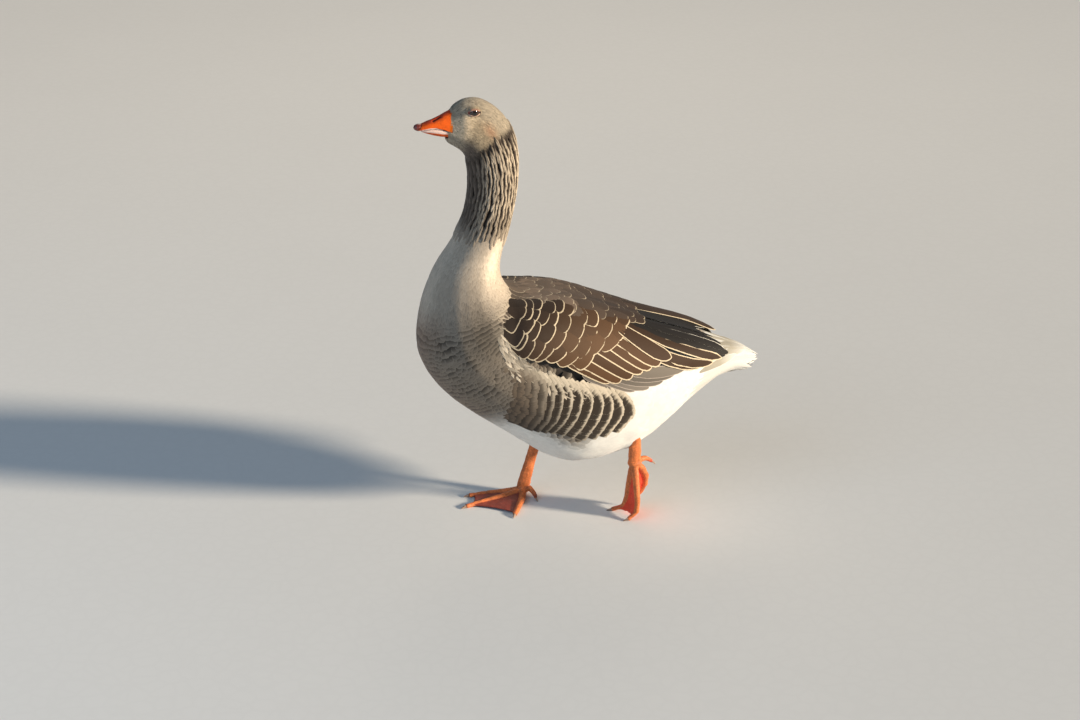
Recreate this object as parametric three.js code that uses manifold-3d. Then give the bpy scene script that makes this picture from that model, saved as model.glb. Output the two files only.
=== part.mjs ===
// A domestic goose of the greylag type, full grown and walking, at life size.
// Millimetres. +Z is up, the goose walks towards -X, and its left side is at -Y.
//
// Head, neck, trunk and tail are one loft between two rails, the line of the back and the line of the
// breast and belly, parted by thin gaps. The folded wings are shells that lie in shallow beds in the trunk.
// The right foot stands flat in front. The left foot pushes off behind, on the tips of its toes.

import * as THREE from 'three';
import { mergeVertices } from 'three/addons/utils/BufferGeometryUtils.js';
import Module from 'manifold-3d';

const wasm = await Module();
wasm.setup();

// ---------------------------------------------------------------- driving sizes

const GAP = 0.3; // clearance between neighbours that touch

// Each station of the body: x and z on the upper rail, x and z on the lower rail, half width,
// and how far up from the lower rail the section is widest, as a share of its height.
const BODY = [
  [-199, 620, -204, 578, 8, 0.5],
  [-190, 627.5, -198, 573, 12.5, 0.5],
  [-172, 635, -188, 567, 23.5, 0.52],
  [-149, 632.5, -177, 557.5, 28, 0.5],
  [-121, 611, -170.5, 541, 29.5, 0.5],
  [-104, 575, -169, 514, 31, 0.5],
  [-101, 530, -171, 489, 33.5, 0.5],
  [-107, 481, -178, 462, 36, 0.5],
  [-119, 433, -195, 428, 41, 0.5],
  [-128, 389, -222, 385, 54, 0.5],
  [-114, 358, -241, 325, 78, 0.52],
  [-82, 350, -243, 262, 98, 0.52],
  [-34, 344, -204, 203, 106, 0.5],
  [28, 320, -121, 139, 108, 0.5],
  [92, 294, -37, 85, 97, 0.55],
  [150, 272, 63, 100, 75, 0.6],
  [196, 250, 138, 160, 50, 0.6],
  [225, 236, 190, 200, 36, 0.5],
  [240, 226, 224, 202, 33, 0.5],
  [249, 219, 243, 208, 30, 0.5],
  [256, 214, 254, 210, 16, 0.5],
];
const SECTION_POWER = 2.1; // 2 is an ellipse, more is squarer

// Where the loft is parted, in stations from the bill.
const NECK_START = 4.6;
const NECK_MIDDLE = 7.2;
const TRUNK_START = 9.4;
const TAIL_START = 16.7;

const CUT = 0.01; // a gap between two lengths, in stations

const HEAD_RINGS = 16;
const NECK_RINGS = 7;
const TRUNK_RINGS = 20;
const TAIL_RINGS = 7;
const BODY_SIDES = 24;

const EYE = { x: -165, y: 22.5, z: 620, radius: 8.5 };

// The bill: x and z on the ridge or lower edge, x and z on the line of the mouth, half width.
const UPPER_BILL = [
  [-185.5, 623.5, -191.5, 591, 14],
  [-195, 619.5, -198, 592.5, 13.6],
  [-204, 615.5, -206, 595.5, 12.8],
  [-215, 610.5, -216, 597.3, 11.8],
  [-226, 606, -227, 597.2, 10.8],
  [-236, 602, -236.5, 595.8, 8.8],
  [-241, 599.5, -241, 595.5, 5],
];
const LOWER_BILL = [
  [-193.5, 582, -191.2, 590.3, 11.5],
  [-205, 583, -206, 594.8, 11],
  [-218, 586, -218, 596.6, 9.6],
  [-229, 589.8, -229, 596.2, 7.6],
  [-235, 592.5, -235, 595.2, 4.5],
];
const BILL_POWER = 2.3;
const NAIL = { x: -238, z: 598.4, length: 7.4, halfWidth: 6.8, height: 5 };

// The wing's edges: x and y of the upper edge, as seen from above, and x and z of the lower edge,
// as seen from the side. Both lie on the trunk.
const WING = [
  [-116, 52, -126, 306],
  [-94, 32, -110, 281],
  [-50, 21, -64, 262],
  [0, 18, -12, 247],
  [48, 18, 42, 234],
  [94, 17, 90, 233],
  [136, 15, 132, 238],
  [172, 12, 166, 237],
  [200, 13, 197, 240],
];
const WING_EDGE_LIFT = 2.2; // the edges stand this far off the trunk
const WING_SHOULDER_LIFT = 9.5; // and the middle this far, at the shoulder
const WING_TIP_LIFT = { left: 5, right: 10 }; // the right wing's tip lies over the left one's
const WING_BED = 2.5; // and the underside lies this deep in it
const WING_STEPS = 16;
const WING_STRIPS = 6;
const WING_SWELL = 0.7; // power of the swell across the wing, below 1 for a full, flat-topped one
const WING_END = 0.12; // share of the swell that is left at the wing's two ends
const WING_END_LENGTH = 2; // stations over which the swell grows from there

const THIGH = { length: 50, depth: 34, thickness: 28 }; // half sizes of the feathered upper leg
const SHANK_DEPTH = 9; // half sizes of the shank, front to back and across
const SHANK_WIDTH = 6.2;
const TOE_BASE = 5.6; // radii of a toe
const TOE_TIP = 3.4;
const WEB = 1.6; // thickness of the web
const WEB_START = 0.08; // share of the toes where it begins
const WEB_REACH = 0.93; // and where it ends
const WEB_BOW = 0.07; // and how far its free edge bows in
const SHANK_KNOB = 0.12; // the shank swells at both its ends
const JOINT = { depth: 10.5, width: 8.4, height: 8.8 }; // half sizes of the joint over the toes
const HALLUX_BASE = 4.6;
const HALLUX_TIP = 2.6;
const CLAW_ROOT = 2.6; // radii of a claw where it leaves the toe
const HALLUX_CLAW_ROOT = 2.1;
const CLAW_LENGTH = 8;
const CLAW_DROP = 1.8;
const CLAW_TIP = 0.6; // radius of a claw's blunt point
const CLAW_BEND = 0.6; // share of a claw that grows straight on from the toe

// Steps along and around the smaller pieces.
const BILL_STEPS = { upper: [11, 13], lower: [8, 11] };
const BALL_STEPS = { small: [12, 6], large: [12, 7] };
const SHANK_STEPS = [6, 9];
const TOE_STEPS = [6, 8];
const HALLUX_STEPS = [5, 8];
const CLAW_STEPS = [4, 6];
const WEB_STEPS = 5;
const SOLVE_STEPS = 30;
const GROUND = { width: 1000, depth: 100 }; // the block that flattens the feet

// ---------------------------------------------------------------- colours

const paint = {
  plumageHead: new THREE.MeshStandardMaterial({ color: 0x8b7760, roughness: 0.9 }),
  plumageNeck: new THREE.MeshStandardMaterial({ color: 0x5c4c3f, roughness: 0.9 }),
  plumageBody: new THREE.MeshStandardMaterial({ color: 0x9a8b7c, roughness: 0.9 }),
  plumageWing: new THREE.MeshStandardMaterial({ color: 0x5b4434, roughness: 0.8 }),
  plumagePale: new THREE.MeshStandardMaterial({ color: 0xece8df, roughness: 0.9 }),
  bill: new THREE.MeshStandardMaterial({ color: 0xd9682c, roughness: 0.45 }),
  nail: new THREE.MeshStandardMaterial({ color: 0xb9837c, roughness: 0.4 }),
  eye: new THREE.MeshStandardMaterial({ color: 0x20110c, roughness: 0.1 }),
  leg: new THREE.MeshStandardMaterial({ color: 0xd5652f, roughness: 0.55 }),
  claw: new THREE.MeshStandardMaterial({ color: 0x4a3a30, roughness: 0.5 }),
};

// ---------------------------------------------------------------- shapes

/** The value at t in a list of numbers, on a smooth curve through all of them. */
function glide(values, t) {
  const last = values.length - 1;
  const i = Math.max(0, Math.min(last - 1, Math.floor(t)));
  const [a, b, c, d] = [i - 1, i, i + 1, i + 2].map(k => values[Math.max(0, Math.min(last, k))]);
  const f = t - i;
  return b + 0.5 * f * (c - a + f * (2 * a - 5 * b + 4 * c - d + f * (3 * (b - c) + d - a)));
}

/** Every column of a table of stations at t. */
const stationAt = (table, t) => table[0].map((_, column) => glide(table.map(row => row[column]), t));

/** A power that keeps the sign, for rounded squares. */
const bulge = (value, power) => Math.sign(value) * Math.abs(value) ** (2 / power);

/** Closed mesh from rings of points: walls between the rings, and a ladder of triangles over each end. */
function loft(rings) {
  const sides = rings[0].length;
  const positions = rings.flat().flatMap(p => [p.x, p.y, p.z]);
  const index = [];
  for (let r = 0; r + 1 < rings.length; r++) {
    for (let i = 0; i < sides; i++) {
      const [a, b] = [r * sides + i, r * sides + (i + 1) % sides];
      index.push(a, b, b + sides, a, b + sides, a + sides);
    }
  }
  const end = (rings.length - 1) * sides;
  for (let i = 0; 2 * i < sides - 2; i++) {
    const [a, b, c, d] = [i, i + 1, sides - 2 - i, sides - 1 - i];
    index.push(a, c, b, a, d, c, end + a, end + b, end + c, end + a, end + c, end + d);
  }
  const geometry = new THREE.BufferGeometry();
  geometry.setAttribute('position', new THREE.Float32BufferAttribute(positions, 3));
  geometry.setIndex(index.filter((_, k) => new Set(index.slice(k - k % 3, k - k % 3 + 3)).size === 3));
  return solid(geometry);
}

/** A geometry whose corners are shared, with its places alone. */
function welded(geometry) {
  geometry.deleteAttribute('normal');
  geometry.deleteAttribute('uv');
  return mergeVertices(geometry, 1e-4);
}

/** A manifold solid from a closed geometry, turned right side out. */
function solid(geometry) {
  const position = geometry.getAttribute('position');
  const index = Array.from(geometry.getIndex().array);
  const corner = k => new THREE.Vector3().fromBufferAttribute(position, index[k]);
  let volume = 0;
  for (let k = 0; k < index.length; k += 3) {
    volume += corner(k).dot(corner(k + 1).cross(corner(k + 2)));
  }
  if (volume < 0) {
    index.reverse();
  }
  return new wasm.Manifold(new wasm.Mesh({
    numProp: 3,
    vertProperties: new Float32Array(position.array),
    triVerts: new Uint32Array(index),
  }));
}

/** The points of one ring, for `count` even steps of a whole turn. */
const ring = (count, pointAt) => Array.from({ length: count }, (_, i) => pointAt((i + 0.5) / count));

/** Rings for `count` even steps from `start` to `end`. */
const along = (count, start, end, ringAt) =>
  Array.from({ length: count }, (_, i) => ringAt(start + (end - start) * i / (count - 1)));

/** A point of the body's surface. Turn 0 is the back, 0.25 the left side and 0.5 the belly. */
function bodyPoint(t, turn, lift = 0) {
  const [topX, topZ, lowX, lowZ, half, level] = stationAt(BODY, t);
  const up = bulge(Math.cos(2 * Math.PI * turn), SECTION_POWER);
  const side = bulge(Math.sin(2 * Math.PI * turn), SECTION_POWER);
  const share = level + up * (up > 0 ? 1 - level : level);
  const height = Math.hypot(topX - lowX, topZ - lowZ);
  const lifted = share + up * lift / height;
  return new THREE.Vector3(
    lowX + (topX - lowX) * lifted,
    -side * (half + lift),
    lowZ + (topZ - lowZ) * lifted,
  );
}

/** A length of the body between two stations. */
const bodyLength = (start, end, count) =>
  loft(along(count, start, end, t => ring(BODY_SIDES, turn => bodyPoint(t, turn))));

/** The input between low and high where a rising function passes the wanted value. */
function solve(low, high, wanted, value) {
  for (let i = 0; i < SOLVE_STEPS; i++) {
    const middle = (low + high) / 2;
    if (value(middle) < wanted) {
      low = middle;
    } else {
      high = middle;
    }
  }
  return (low + high) / 2;
}

/** Station of the body whose surface passes a given x at a given turn. */
const stationOf = (x, turn) => solve(TRUNK_START, BODY.length - 1.5, x, t => bodyPoint(t, turn).x);

/** Station and turn of the left side of the trunk at x and y, seen from above. */
function fromAbove(x, y) {
  const turn = solve(0, 0.25, y, guess => -bodyPoint(stationOf(x, guess), guess).y);
  return [stationOf(x, turn), turn];
}

/** Station and turn of the left side of the trunk at x and z, seen from the side. */
function fromSide(x, z) {
  const turn = solve(0.02, 0.5, -z, guess => -bodyPoint(stationOf(x, guess), guess).z);
  return [stationOf(x, turn), turn];
}

/** A round tapering limb along a curve, with its half sizes along two directions at each share. */
function limb(curve, [count, sides], sizesAt, across) {
  return loft(along(count, 0, 1, share => {
    const centre = curve.getPointAt(share);
    const ahead = curve.getTangentAt(share);
    const wide = across.clone().addScaledVector(ahead, -across.dot(ahead)).normalize();
    const deep = new THREE.Vector3().crossVectors(ahead, wide);
    const [width, depth] = sizesAt(share);
    return ring(sides, turn => centre.clone()
      .addScaledVector(wide, width * Math.cos(2 * Math.PI * turn))
      .addScaledVector(deep, depth * Math.sin(2 * Math.PI * turn)));
  }));
}

/** A ball stretched to three half sizes, leaning forward by an angle, at a place. */
function ball(centre, sizes, [around, down], lean = 0) {
  const geometry = new THREE.SphereGeometry(1, around, down);
  geometry.rotateX(Math.PI / 2);
  geometry.scale(sizes.x, sizes.y, sizes.z);
  geometry.rotateY(lean);
  geometry.translate(centre.x, centre.y, centre.z);
  return solid(welded(geometry));
}

/** Moves an end ring away from the ring next to it. */
function stretchEnd(end, next, distance) {
  end.forEach((point, i) => point.addScaledVector(point.clone().sub(next[i]).normalize(), distance));
}

/** All the solids joined to one. */
const join = solids => solids.reduce((sum, next) => sum.add(next));

/** A solid without the space of others. */
const carve = (body, cutters) => cutters.reduce((rest, next) => rest.subtract(next), body);

const vector = (x, y, z) => new THREE.Vector3(x, y, z);
const SIDES = [['left', -1], ['right', 1]];

// ---------------------------------------------------------------- head and bill

const eyeBall = (side, grow) => ball(
  vector(EYE.x, side * EYE.y, EYE.z),
  vector(EYE.radius + grow, EYE.radius + grow, EYE.radius + grow), BALL_STEPS.small);

/** Half of a bill: arched over the rail of its ridge and flat along the line of the mouth. */
function billHalf(table, [count, sides], grow) {
  const rings = along(count, 0, table.length - 1, t => {
    const [ridgeX, ridgeZ, mouthX, mouthZ, half] = stationAt(table, t);
    const margin = grow / Math.hypot(ridgeX - mouthX, ridgeZ - mouthZ);
    return along(sides, 0, Math.PI, angle => {
      const rise = bulge(Math.sin(angle), BILL_POWER) * (1 + 2 * margin) - margin;
      return vector(
        mouthX + (ridgeX - mouthX) * rise,
        (half + grow) * bulge(Math.cos(angle), BILL_POWER),
        mouthZ + (ridgeZ - mouthZ) * rise,
      );
    });
  });
  stretchEnd(rings[0], rings[1], grow);
  return loft(rings);
}

const billUpper = grow => billHalf(UPPER_BILL, BILL_STEPS.upper, grow);
const billLower = grow => billHalf(LOWER_BILL, BILL_STEPS.lower, grow);

const nail = grow => ball(
  vector(NAIL.x, 0, NAIL.z),
  vector(NAIL.length + grow, NAIL.halfWidth + grow, NAIL.height + grow), BALL_STEPS.small);

// ---------------------------------------------------------------- wings

/** A folded wing: a shell over the side of the trunk, thickest at the shoulder. */
function wing(name, side, grow) {
  const edges = WING.map(([topX, topY, lowX, lowZ]) => [...fromAbove(topX, topY), ...fromSide(lowX, lowZ)]);
  const last = WING.length - 1;
  const rings = along(WING_STEPS, 0, last, t => {
    const [topT, topTurn, lowT, lowTurn] = stationAt(edges, t);
    const place = (share, lift) => {
      const point = bodyPoint(topT + (lowT - topT) * share, topTurn + (lowTurn - topTurn) * share, lift);
      point.y *= -side;
      return point;
    };
    const margin = grow / place(0, 0).distanceTo(place(1, 0));
    const strips = along(WING_STRIPS + 1, -margin, 1 + margin, share => share);
    const crown = WING_SHOULDER_LIFT + (WING_TIP_LIFT[name] - WING_SHOULDER_LIFT) * t / last;
    const inward = WING_END + Math.min(t, last - t) / WING_END_LENGTH;
    const ends = Math.sin(Math.PI * Math.min(1, inward) / 2);
    const outer = strips.map(share => {
      const swell = Math.max(0, Math.sin(Math.PI * share)) ** WING_SWELL * ends;
      return place(share, WING_EDGE_LIFT + (crown - WING_EDGE_LIFT) * swell + grow);
    });
    const inner = strips.map(share => place(share, -WING_BED - grow));
    return [...outer, ...inner.reverse()];
  });
  stretchEnd(rings[0], rings[1], grow);
  stretchEnd(rings.at(-1), rings.at(-2), grow);
  return loft(rings);
}

// ---------------------------------------------------------------- legs and feet

// The right leg carries the goose, and its foot is flat. The left one is behind, on its toe tips.
// Toes are listed from the inner one to the outer one, each by its knuckles from the joint to the tip.
const LEGS = {
  right: {
    thigh: { centre: [-38, 58, 140], lean: 0.35 },
    shank: [[-50, 59, 118], [-60, 61, 82], [-70, 62, 46], [-79, 62, 12]],
    joint: [-79, 62, 9.5],
    toes: [
      [[-79, 60, 8], [-84, 42, 4.6], [-97, 14, 3.4], [-108, -8, 2.6]],
      [[-80, 62, 8], [-104, 55, 4.6], [-140, 45, 3.4], [-171, 36, 2.6]],
      [[-80, 64, 8], [-101, 67, 4.6], [-131, 70, 3.4], [-159, 71, 2.6]],
    ],
    hallux: [[-72, 54, 14], [-66, 45, 8], [-65, 37, 3.4]],
    webPlane: [0, 0, 1],
  },
  left: {
    thigh: { centre: [46, -58, 178], lean: -0.1 },
    shank: [[64, -60, 198], [61, -59, 165], [59, -56, 125], [60, -50, 90]],
    joint: [60.5, -49, 86],
    toes: [
      [[62, -45, 84], [78, -39, 67], [83, -31, 45], [77, -23, 25], [66, -18, 13]],
      [[59, -48, 84], [55, -42, 52], [53, -34, 20], [48, -30, 6.5], [34, -25, 2.6]],
      [[60, -51, 84], [61, -59, 52], [62, -62, 20], [59, -62, 7.5], [48, -62, 2.6]],
    ],
    hallux: [[67, -46, 88], [79, -40, 87], [90, -36, 79]],
    webPlane: [-1, 0, 0.1],
  },
};

const curveOf = points => new THREE.CatmullRomCurve3(points.map(p => vector(...p)), false, 'centripetal');

const thigh = ({ thigh: { centre, lean } }, grow) => ball(
  vector(...centre),
  vector(THIGH.depth + grow, THIGH.thickness + grow, THIGH.length + grow), BALL_STEPS.large, lean);

const shank = (leg, grow) => limb(curveOf(leg.shank), SHANK_STEPS, share => {
  const knob = 1 + SHANK_KNOB * Math.cos(2 * Math.PI * share);
  return [SHANK_WIDTH * knob + grow, SHANK_DEPTH * knob + grow];
}, vector(0, 1, 0));

const toe = (points, grow) => limb(curveOf(points), TOE_STEPS, share => {
  const radius = TOE_BASE + (TOE_TIP - TOE_BASE) * share + grow;
  return [radius, radius];
}, vector(0, 1, 0));

const hallux = (leg, grow) => limb(curveOf(leg.hallux), HALLUX_STEPS, share => {
  const radius = HALLUX_BASE + (HALLUX_TIP - HALLUX_BASE) * share + grow;
  return [radius, radius];
}, vector(0, 1, 0));

/** The web between two toes: a thin sheet whose free edge bows inward. */
function web(inner, outer, plane, grow) {
  const [a, b] = [curveOf(inner), curveOf(outer)];
  const lift = vector(...plane).setLength(WEB / 2 + grow);
  const across = along(WEB_STEPS, 0, 1, share => share);
  return loft(along(WEB_STEPS, WEB_START, WEB_REACH, share => {
    const line = across.map(v => {
      const reach = share * (1 - WEB_BOW * Math.sin(Math.PI * v) * share);
      return a.getPointAt(reach).lerp(b.getPointAt(reach), v);
    });
    return [...line.map(p => p.clone().add(lift)), ...line.map(p => p.clone().sub(lift)).reverse()];
  }));
}

const joint = (leg, grow) => ball(vector(...leg.joint),
  vector(JOINT.depth + grow, JOINT.width + grow, JOINT.height + grow), BALL_STEPS.small);

/** The front of a foot: the joint, three toes and the web between them, flat where it meets the ground. */
function foot(leg, grow) {
  const [inner, middle, outer] = leg.toes;
  const webs = [[inner, middle], [middle, outer]].map(([a, b]) => web(a, b, leg.webPlane, grow));
  return join([joint(leg, grow), ...leg.toes.map(points => toe(points, grow)), ...webs]);
}

/** A claw that grows on from the end of a toe and curves down to the ground. */
function claw(points, rootRadius) {
  const curve = curveOf(points);
  const end = curve.getPointAt(1);
  const ahead = curve.getTangentAt(1);
  const root = end.clone().addScaledVector(ahead, GAP);
  const tip = root.clone().addScaledVector(ahead, CLAW_LENGTH);
  tip.z = Math.max(CLAW_TIP, tip.z - CLAW_DROP);
  const middle = root.clone().addScaledVector(ahead, CLAW_BEND * CLAW_LENGTH);
  const bend = new THREE.QuadraticBezierCurve3(root, middle, tip);
  return limb(bend, CLAW_STEPS, share => {
    const radius = rootRadius + (CLAW_TIP - rootRadius) * share;
    return [radius, radius];
  }, vector(0, 1, 0));
}

/** The ground that the feet are flattened on. */
function ground() {
  const block = new THREE.BoxGeometry(GROUND.width, GROUND.width, GROUND.depth);
  block.translate(0, 0, -GROUND.depth / 2);
  return solid(welded(block));
}

// ---------------------------------------------------------------- the goose

const goose = new THREE.Group();

/** Adds one named piece. */
function add(name, body, material) {
  const { vertProperties, triVerts } = body.getMesh();
  const geometry = new THREE.BufferGeometry();
  geometry.setAttribute('position', new THREE.BufferAttribute(vertProperties, 3));
  geometry.setIndex(new THREE.BufferAttribute(triVerts, 1));
  geometry.computeVertexNormals();
  const piece = new THREE.Mesh(geometry, material);
  piece.name = name;
  goose.add(piece);
}

const eyeSockets = SIDES.map(([, side]) => eyeBall(side, GAP));
const headBeds = [...eyeSockets, billUpper(GAP), billLower(GAP)];
add('head', carve(bodyLength(0, NECK_START - CUT, HEAD_RINGS), headBeds), paint.plumageHead);
for (const [name, side] of SIDES) {
  add(`eye_${name}`, eyeBall(side, 0), paint.eye);
}
add('bill_upper', carve(billUpper(0), [nail(GAP)]), paint.bill);
add('bill_lower', carve(billLower(0), [nail(GAP)]), paint.bill);
add('bill_nail', nail(0), paint.nail);

add('neck_upper', bodyLength(NECK_START, NECK_MIDDLE - CUT, NECK_RINGS), paint.plumageNeck);
add('neck_lower', bodyLength(NECK_MIDDLE, TRUNK_START - CUT, NECK_RINGS), paint.plumageBody);

const limbBeds = SIDES.flatMap(([name, side]) =>
  [wing(name, side, GAP), thigh(LEGS[name], GAP), shank(LEGS[name], GAP)]);
const trunk = bodyLength(TRUNK_START, TAIL_START - CUT, TRUNK_RINGS);
add('trunk', carve(trunk, limbBeds), paint.plumageBody);
add('tail', bodyLength(TAIL_START, BODY.length - 1, TAIL_RINGS), paint.plumagePale);

const earth = ground();
for (const [name, side] of SIDES) {
  const leg = LEGS[name];
  add(`wing_${name}`, wing(name, side, 0), paint.plumageWing);
  add(`thigh_${name}`, carve(thigh(leg, 0), [shank(leg, GAP), wing(name, side, GAP)]), paint.plumagePale);
  add(`shank_${name}`, carve(shank(leg, 0), [foot(leg, GAP)]), paint.leg);
  add(`foot_${name}`, carve(foot(leg, 0), [earth]), paint.leg);
  add(`hallux_${name}`, carve(hallux(leg, 0), [foot(leg, GAP), shank(leg, GAP), earth]), paint.leg);
  for (const [i, points] of leg.toes.entries()) {
    add(`claw_${name}_${i + 1}`, carve(claw(points, CLAW_ROOT), [earth]), paint.claw);
  }
  add(`claw_${name}_4`, carve(claw(leg.hallux, HALLUX_CLAW_ROOT), [earth]), paint.claw);
}

// The origin is under the middle of the whole goose, on the ground.
const bounds = new THREE.Box3().setFromObject(goose);
const middle = bounds.getCenter(new THREE.Vector3());
goose.position.set(-middle.x, -middle.y, -bounds.min.z);

export default goose;
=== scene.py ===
"""A domestic goose of the greylag type, walking, as a still model at life size.

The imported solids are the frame. One skin replaces the flesh, and lies inside it by the depth of the coat.
Feathers are thin closed vanes, laid out on charts of the body and of the folded wings.
Metres. +Z is up, the goose walks towards -X, and its left side is at -Y.
"""

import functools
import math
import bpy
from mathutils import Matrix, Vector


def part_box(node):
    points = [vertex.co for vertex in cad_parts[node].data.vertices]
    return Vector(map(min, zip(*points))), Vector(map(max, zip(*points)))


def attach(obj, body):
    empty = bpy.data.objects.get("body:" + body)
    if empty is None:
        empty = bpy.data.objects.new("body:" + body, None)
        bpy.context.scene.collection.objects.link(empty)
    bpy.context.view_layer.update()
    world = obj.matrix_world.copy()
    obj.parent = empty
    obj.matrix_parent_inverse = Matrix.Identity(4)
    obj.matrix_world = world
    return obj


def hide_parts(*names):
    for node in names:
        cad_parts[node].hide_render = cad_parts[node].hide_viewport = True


bl_info = {
    "name": "Walking goose",
    "version": (1, 0, 0),
    "blender": (4, 5, 0),
    "location": "View3D > Sidebar > Goose",
    "description": "Builds a life-size greylag-type goose around its packed solids",
    "category": "Object",
}

import bmesh
import bpy
import numpy as np
from bpy.props import FloatProperty, FloatVectorProperty, PointerProperty
from bpy.types import Operator, Panel, PropertyGroup
from mathutils import Vector
from mathutils.bvhtree import BVHTree
from mathutils.kdtree import KDTree

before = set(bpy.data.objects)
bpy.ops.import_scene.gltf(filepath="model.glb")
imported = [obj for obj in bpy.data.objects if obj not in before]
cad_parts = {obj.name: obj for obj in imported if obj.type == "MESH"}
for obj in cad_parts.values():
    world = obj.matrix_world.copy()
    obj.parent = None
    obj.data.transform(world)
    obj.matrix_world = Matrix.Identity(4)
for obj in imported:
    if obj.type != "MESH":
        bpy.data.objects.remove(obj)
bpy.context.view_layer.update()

MM = 0.001
BODY = "root"
SIDES = (("left", -1), ("right", 1))

FEATHERED_NODES = ("head", "neck_upper", "neck_lower", "trunk", "tail", "thigh_left", "thigh_right")
WING_NODES = ("wing_left", "wing_right")
EYE_NODES = ("eye_left", "eye_right")
FILLING_NODES = ("bill_upper", "bill_lower", *EYE_NODES, "shank_left", "shank_right")
LEG_NODES = tuple(f"{part}_{side}" for part in ("shank", "foot", "hallux") for side, _ in SIDES)
CLAW_NODES = tuple(f"claw_{side}_{toe}" for side, _ in SIDES for toe in (1, 2, 3, 4))


# ---------------------------------------------------------------- sizes and colours


def hue(name, description, default):
    """A colour that can be set in the panel."""
    return FloatVectorProperty(
        name=name, description=description, default=default, subtype="COLOR", size=3, min=0.0, max=1.0
    )


def length(name, description, default):
    """A length that can be set in the panel."""
    return FloatProperty(
        name=name, description=description, default=default, unit="LENGTH", min=0.0, precision=4
    )


def amount(name, description, default, least=0.0):
    """A number that can be set in the panel."""
    return FloatProperty(name=name, description=description, default=default, min=least)


class GoosePlumage(PropertyGroup):
    """Colours of the feathers."""

    white: hue("White", "Belly, vent and tail", (0.80, 0.79, 0.76))
    head: hue("Head", "Crown and face", (0.33, 0.275, 0.205))
    cheek: hue("Cheek", "Sides of the face", (0.325, 0.255, 0.17))
    # Pale face between bill and eye: partly a pale marking, partly painted sunlight on the front of the face.
    pale_sunlit_muzzle: hue("Muzzle", "Face between the bill and the eye", (0.86, 0.66, 0.44))
    rust: hue("Rust", "Reddish tinge behind the eye", (0.36, 0.185, 0.105))
    lore: hue("Lore", "Feathers along the base of the bill", (0.105, 0.085, 0.058))
    # Dark chin and throat: partly the feathers' own dark tone, partly painted shade under the head.
    throat: hue("Throat", "Chin and throat", (0.120, 0.092, 0.072))
    # The neck's dark furrows and pale crests are partly the feathers' own colours, partly painted shade in
    # the furrows and painted sunlit highlight on the crests.
    furrow: hue("Furrow", "Hollows between the ridges of the neck", (0.035, 0.025, 0.019))
    ridge: hue("Ridge", "Crests of the ridges of the neck", (0.80, 0.66, 0.50))
    breast: hue("Breast", "Base of the breast feathers", (0.44, 0.365, 0.29))
    breast_tip: hue("Breast tips", "Tips of the breast feathers", (0.54, 0.455, 0.365))
    # The sides of the breast and their tips are the feathers' own darker tone, deepened by painted shade by
    # the shoulder.
    side: hue("Sides", "Base of the feathers on the sides of the breast", (0.040, 0.031, 0.025))
    side_tip: hue("Side tips", "Tips of the feathers on the sides of the breast", (0.24, 0.20, 0.157))
    flank: hue("Flank", "Bars of the flank", (0.026, 0.018, 0.012))
    flank_tip: hue("Flank tips", "Pale edges of the flank's bars", (0.60, 0.52, 0.41))
    mantle: hue("Mantle", "Feathers of the shoulders", (0.11, 0.082, 0.062))
    mantle_tip: hue("Mantle tips", "Pale edges of the shoulders' feathers", (0.50, 0.42, 0.32))
    wing: hue("Wing", "Wing coverts and inner flight feathers", (0.105, 0.058, 0.028))
    wing_dark: hue("Dark wing", "Foremost and hidden wing feathers", (0.036, 0.022, 0.015))
    wing_tip: hue("Wing edges", "Pale edges of the wing's feathers", (0.74, 0.61, 0.43))
    primary: hue("Primaries", "Longest flight feathers", (0.016, 0.013, 0.012))
    primary_tip: hue("Primaries' edges", "Pale edges of the longest flight feathers", (0.80, 0.76, 0.68))
    down: hue("Down", "Soft fringe under the wing", (0.50, 0.43, 0.34))


class GooseBareParts(PropertyGroup):
    """Colours and sizes of the bill, the eyes and the legs."""

    bill: hue("Bill", "Sides of the bill", (0.72, 0.103, 0.007))
    # Painted shade: darkens the top of the bill and the groove around each nostril.
    bill_shade: hue("Ridge of the bill", "Top of the bill", (0.50, 0.050, 0.012))
    bill_base: hue("Base of the bill", "Edge next to the face", (0.90, 0.20, 0.012))
    # Pale comb: partly the lamellae's own pale colour, partly a painted highlight along the edge of the bill.
    bill_comb: hue("Comb", "Pale comb along the edge of the bill", (0.92, 0.76, 0.69))
    # Partly the mouth's own dark red, partly painted shade in the gap of the mouth and inside the nostrils.
    mouth: hue("Mouth", "Line of the mouth and inside of the nostrils", (0.10, 0.012, 0.008))
    nail: hue("Nail", "Nail of the bill", (0.19, 0.034, 0.022))
    leg: hue("Leg", "Shanks and toes", (0.72, 0.200, 0.060))
    web: hue("Web", "Webs between the toes", (0.62, 0.085, 0.040))
    claw: hue("Claw", "Claws", (0.36, 0.235, 0.175))
    iris: hue("Iris", "Ring around the pupil", (0.040, 0.016, 0.008))
    lid: hue("Lid", "Upper lid", (0.36, 0.19, 0.13))
    lid_edge: hue("Edge of the lid", "Lower lid and edges", (0.66, 0.44, 0.34))
    eye_opening: length("Eye opening", "Half the length of the opening between the lids", 0.0071)
    upper_lid: length("Upper lid", "Height of the opening above its middle", 0.0041)
    lower_lid: length("Lower lid", "Depth of the opening below its middle", 0.0037)


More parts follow.
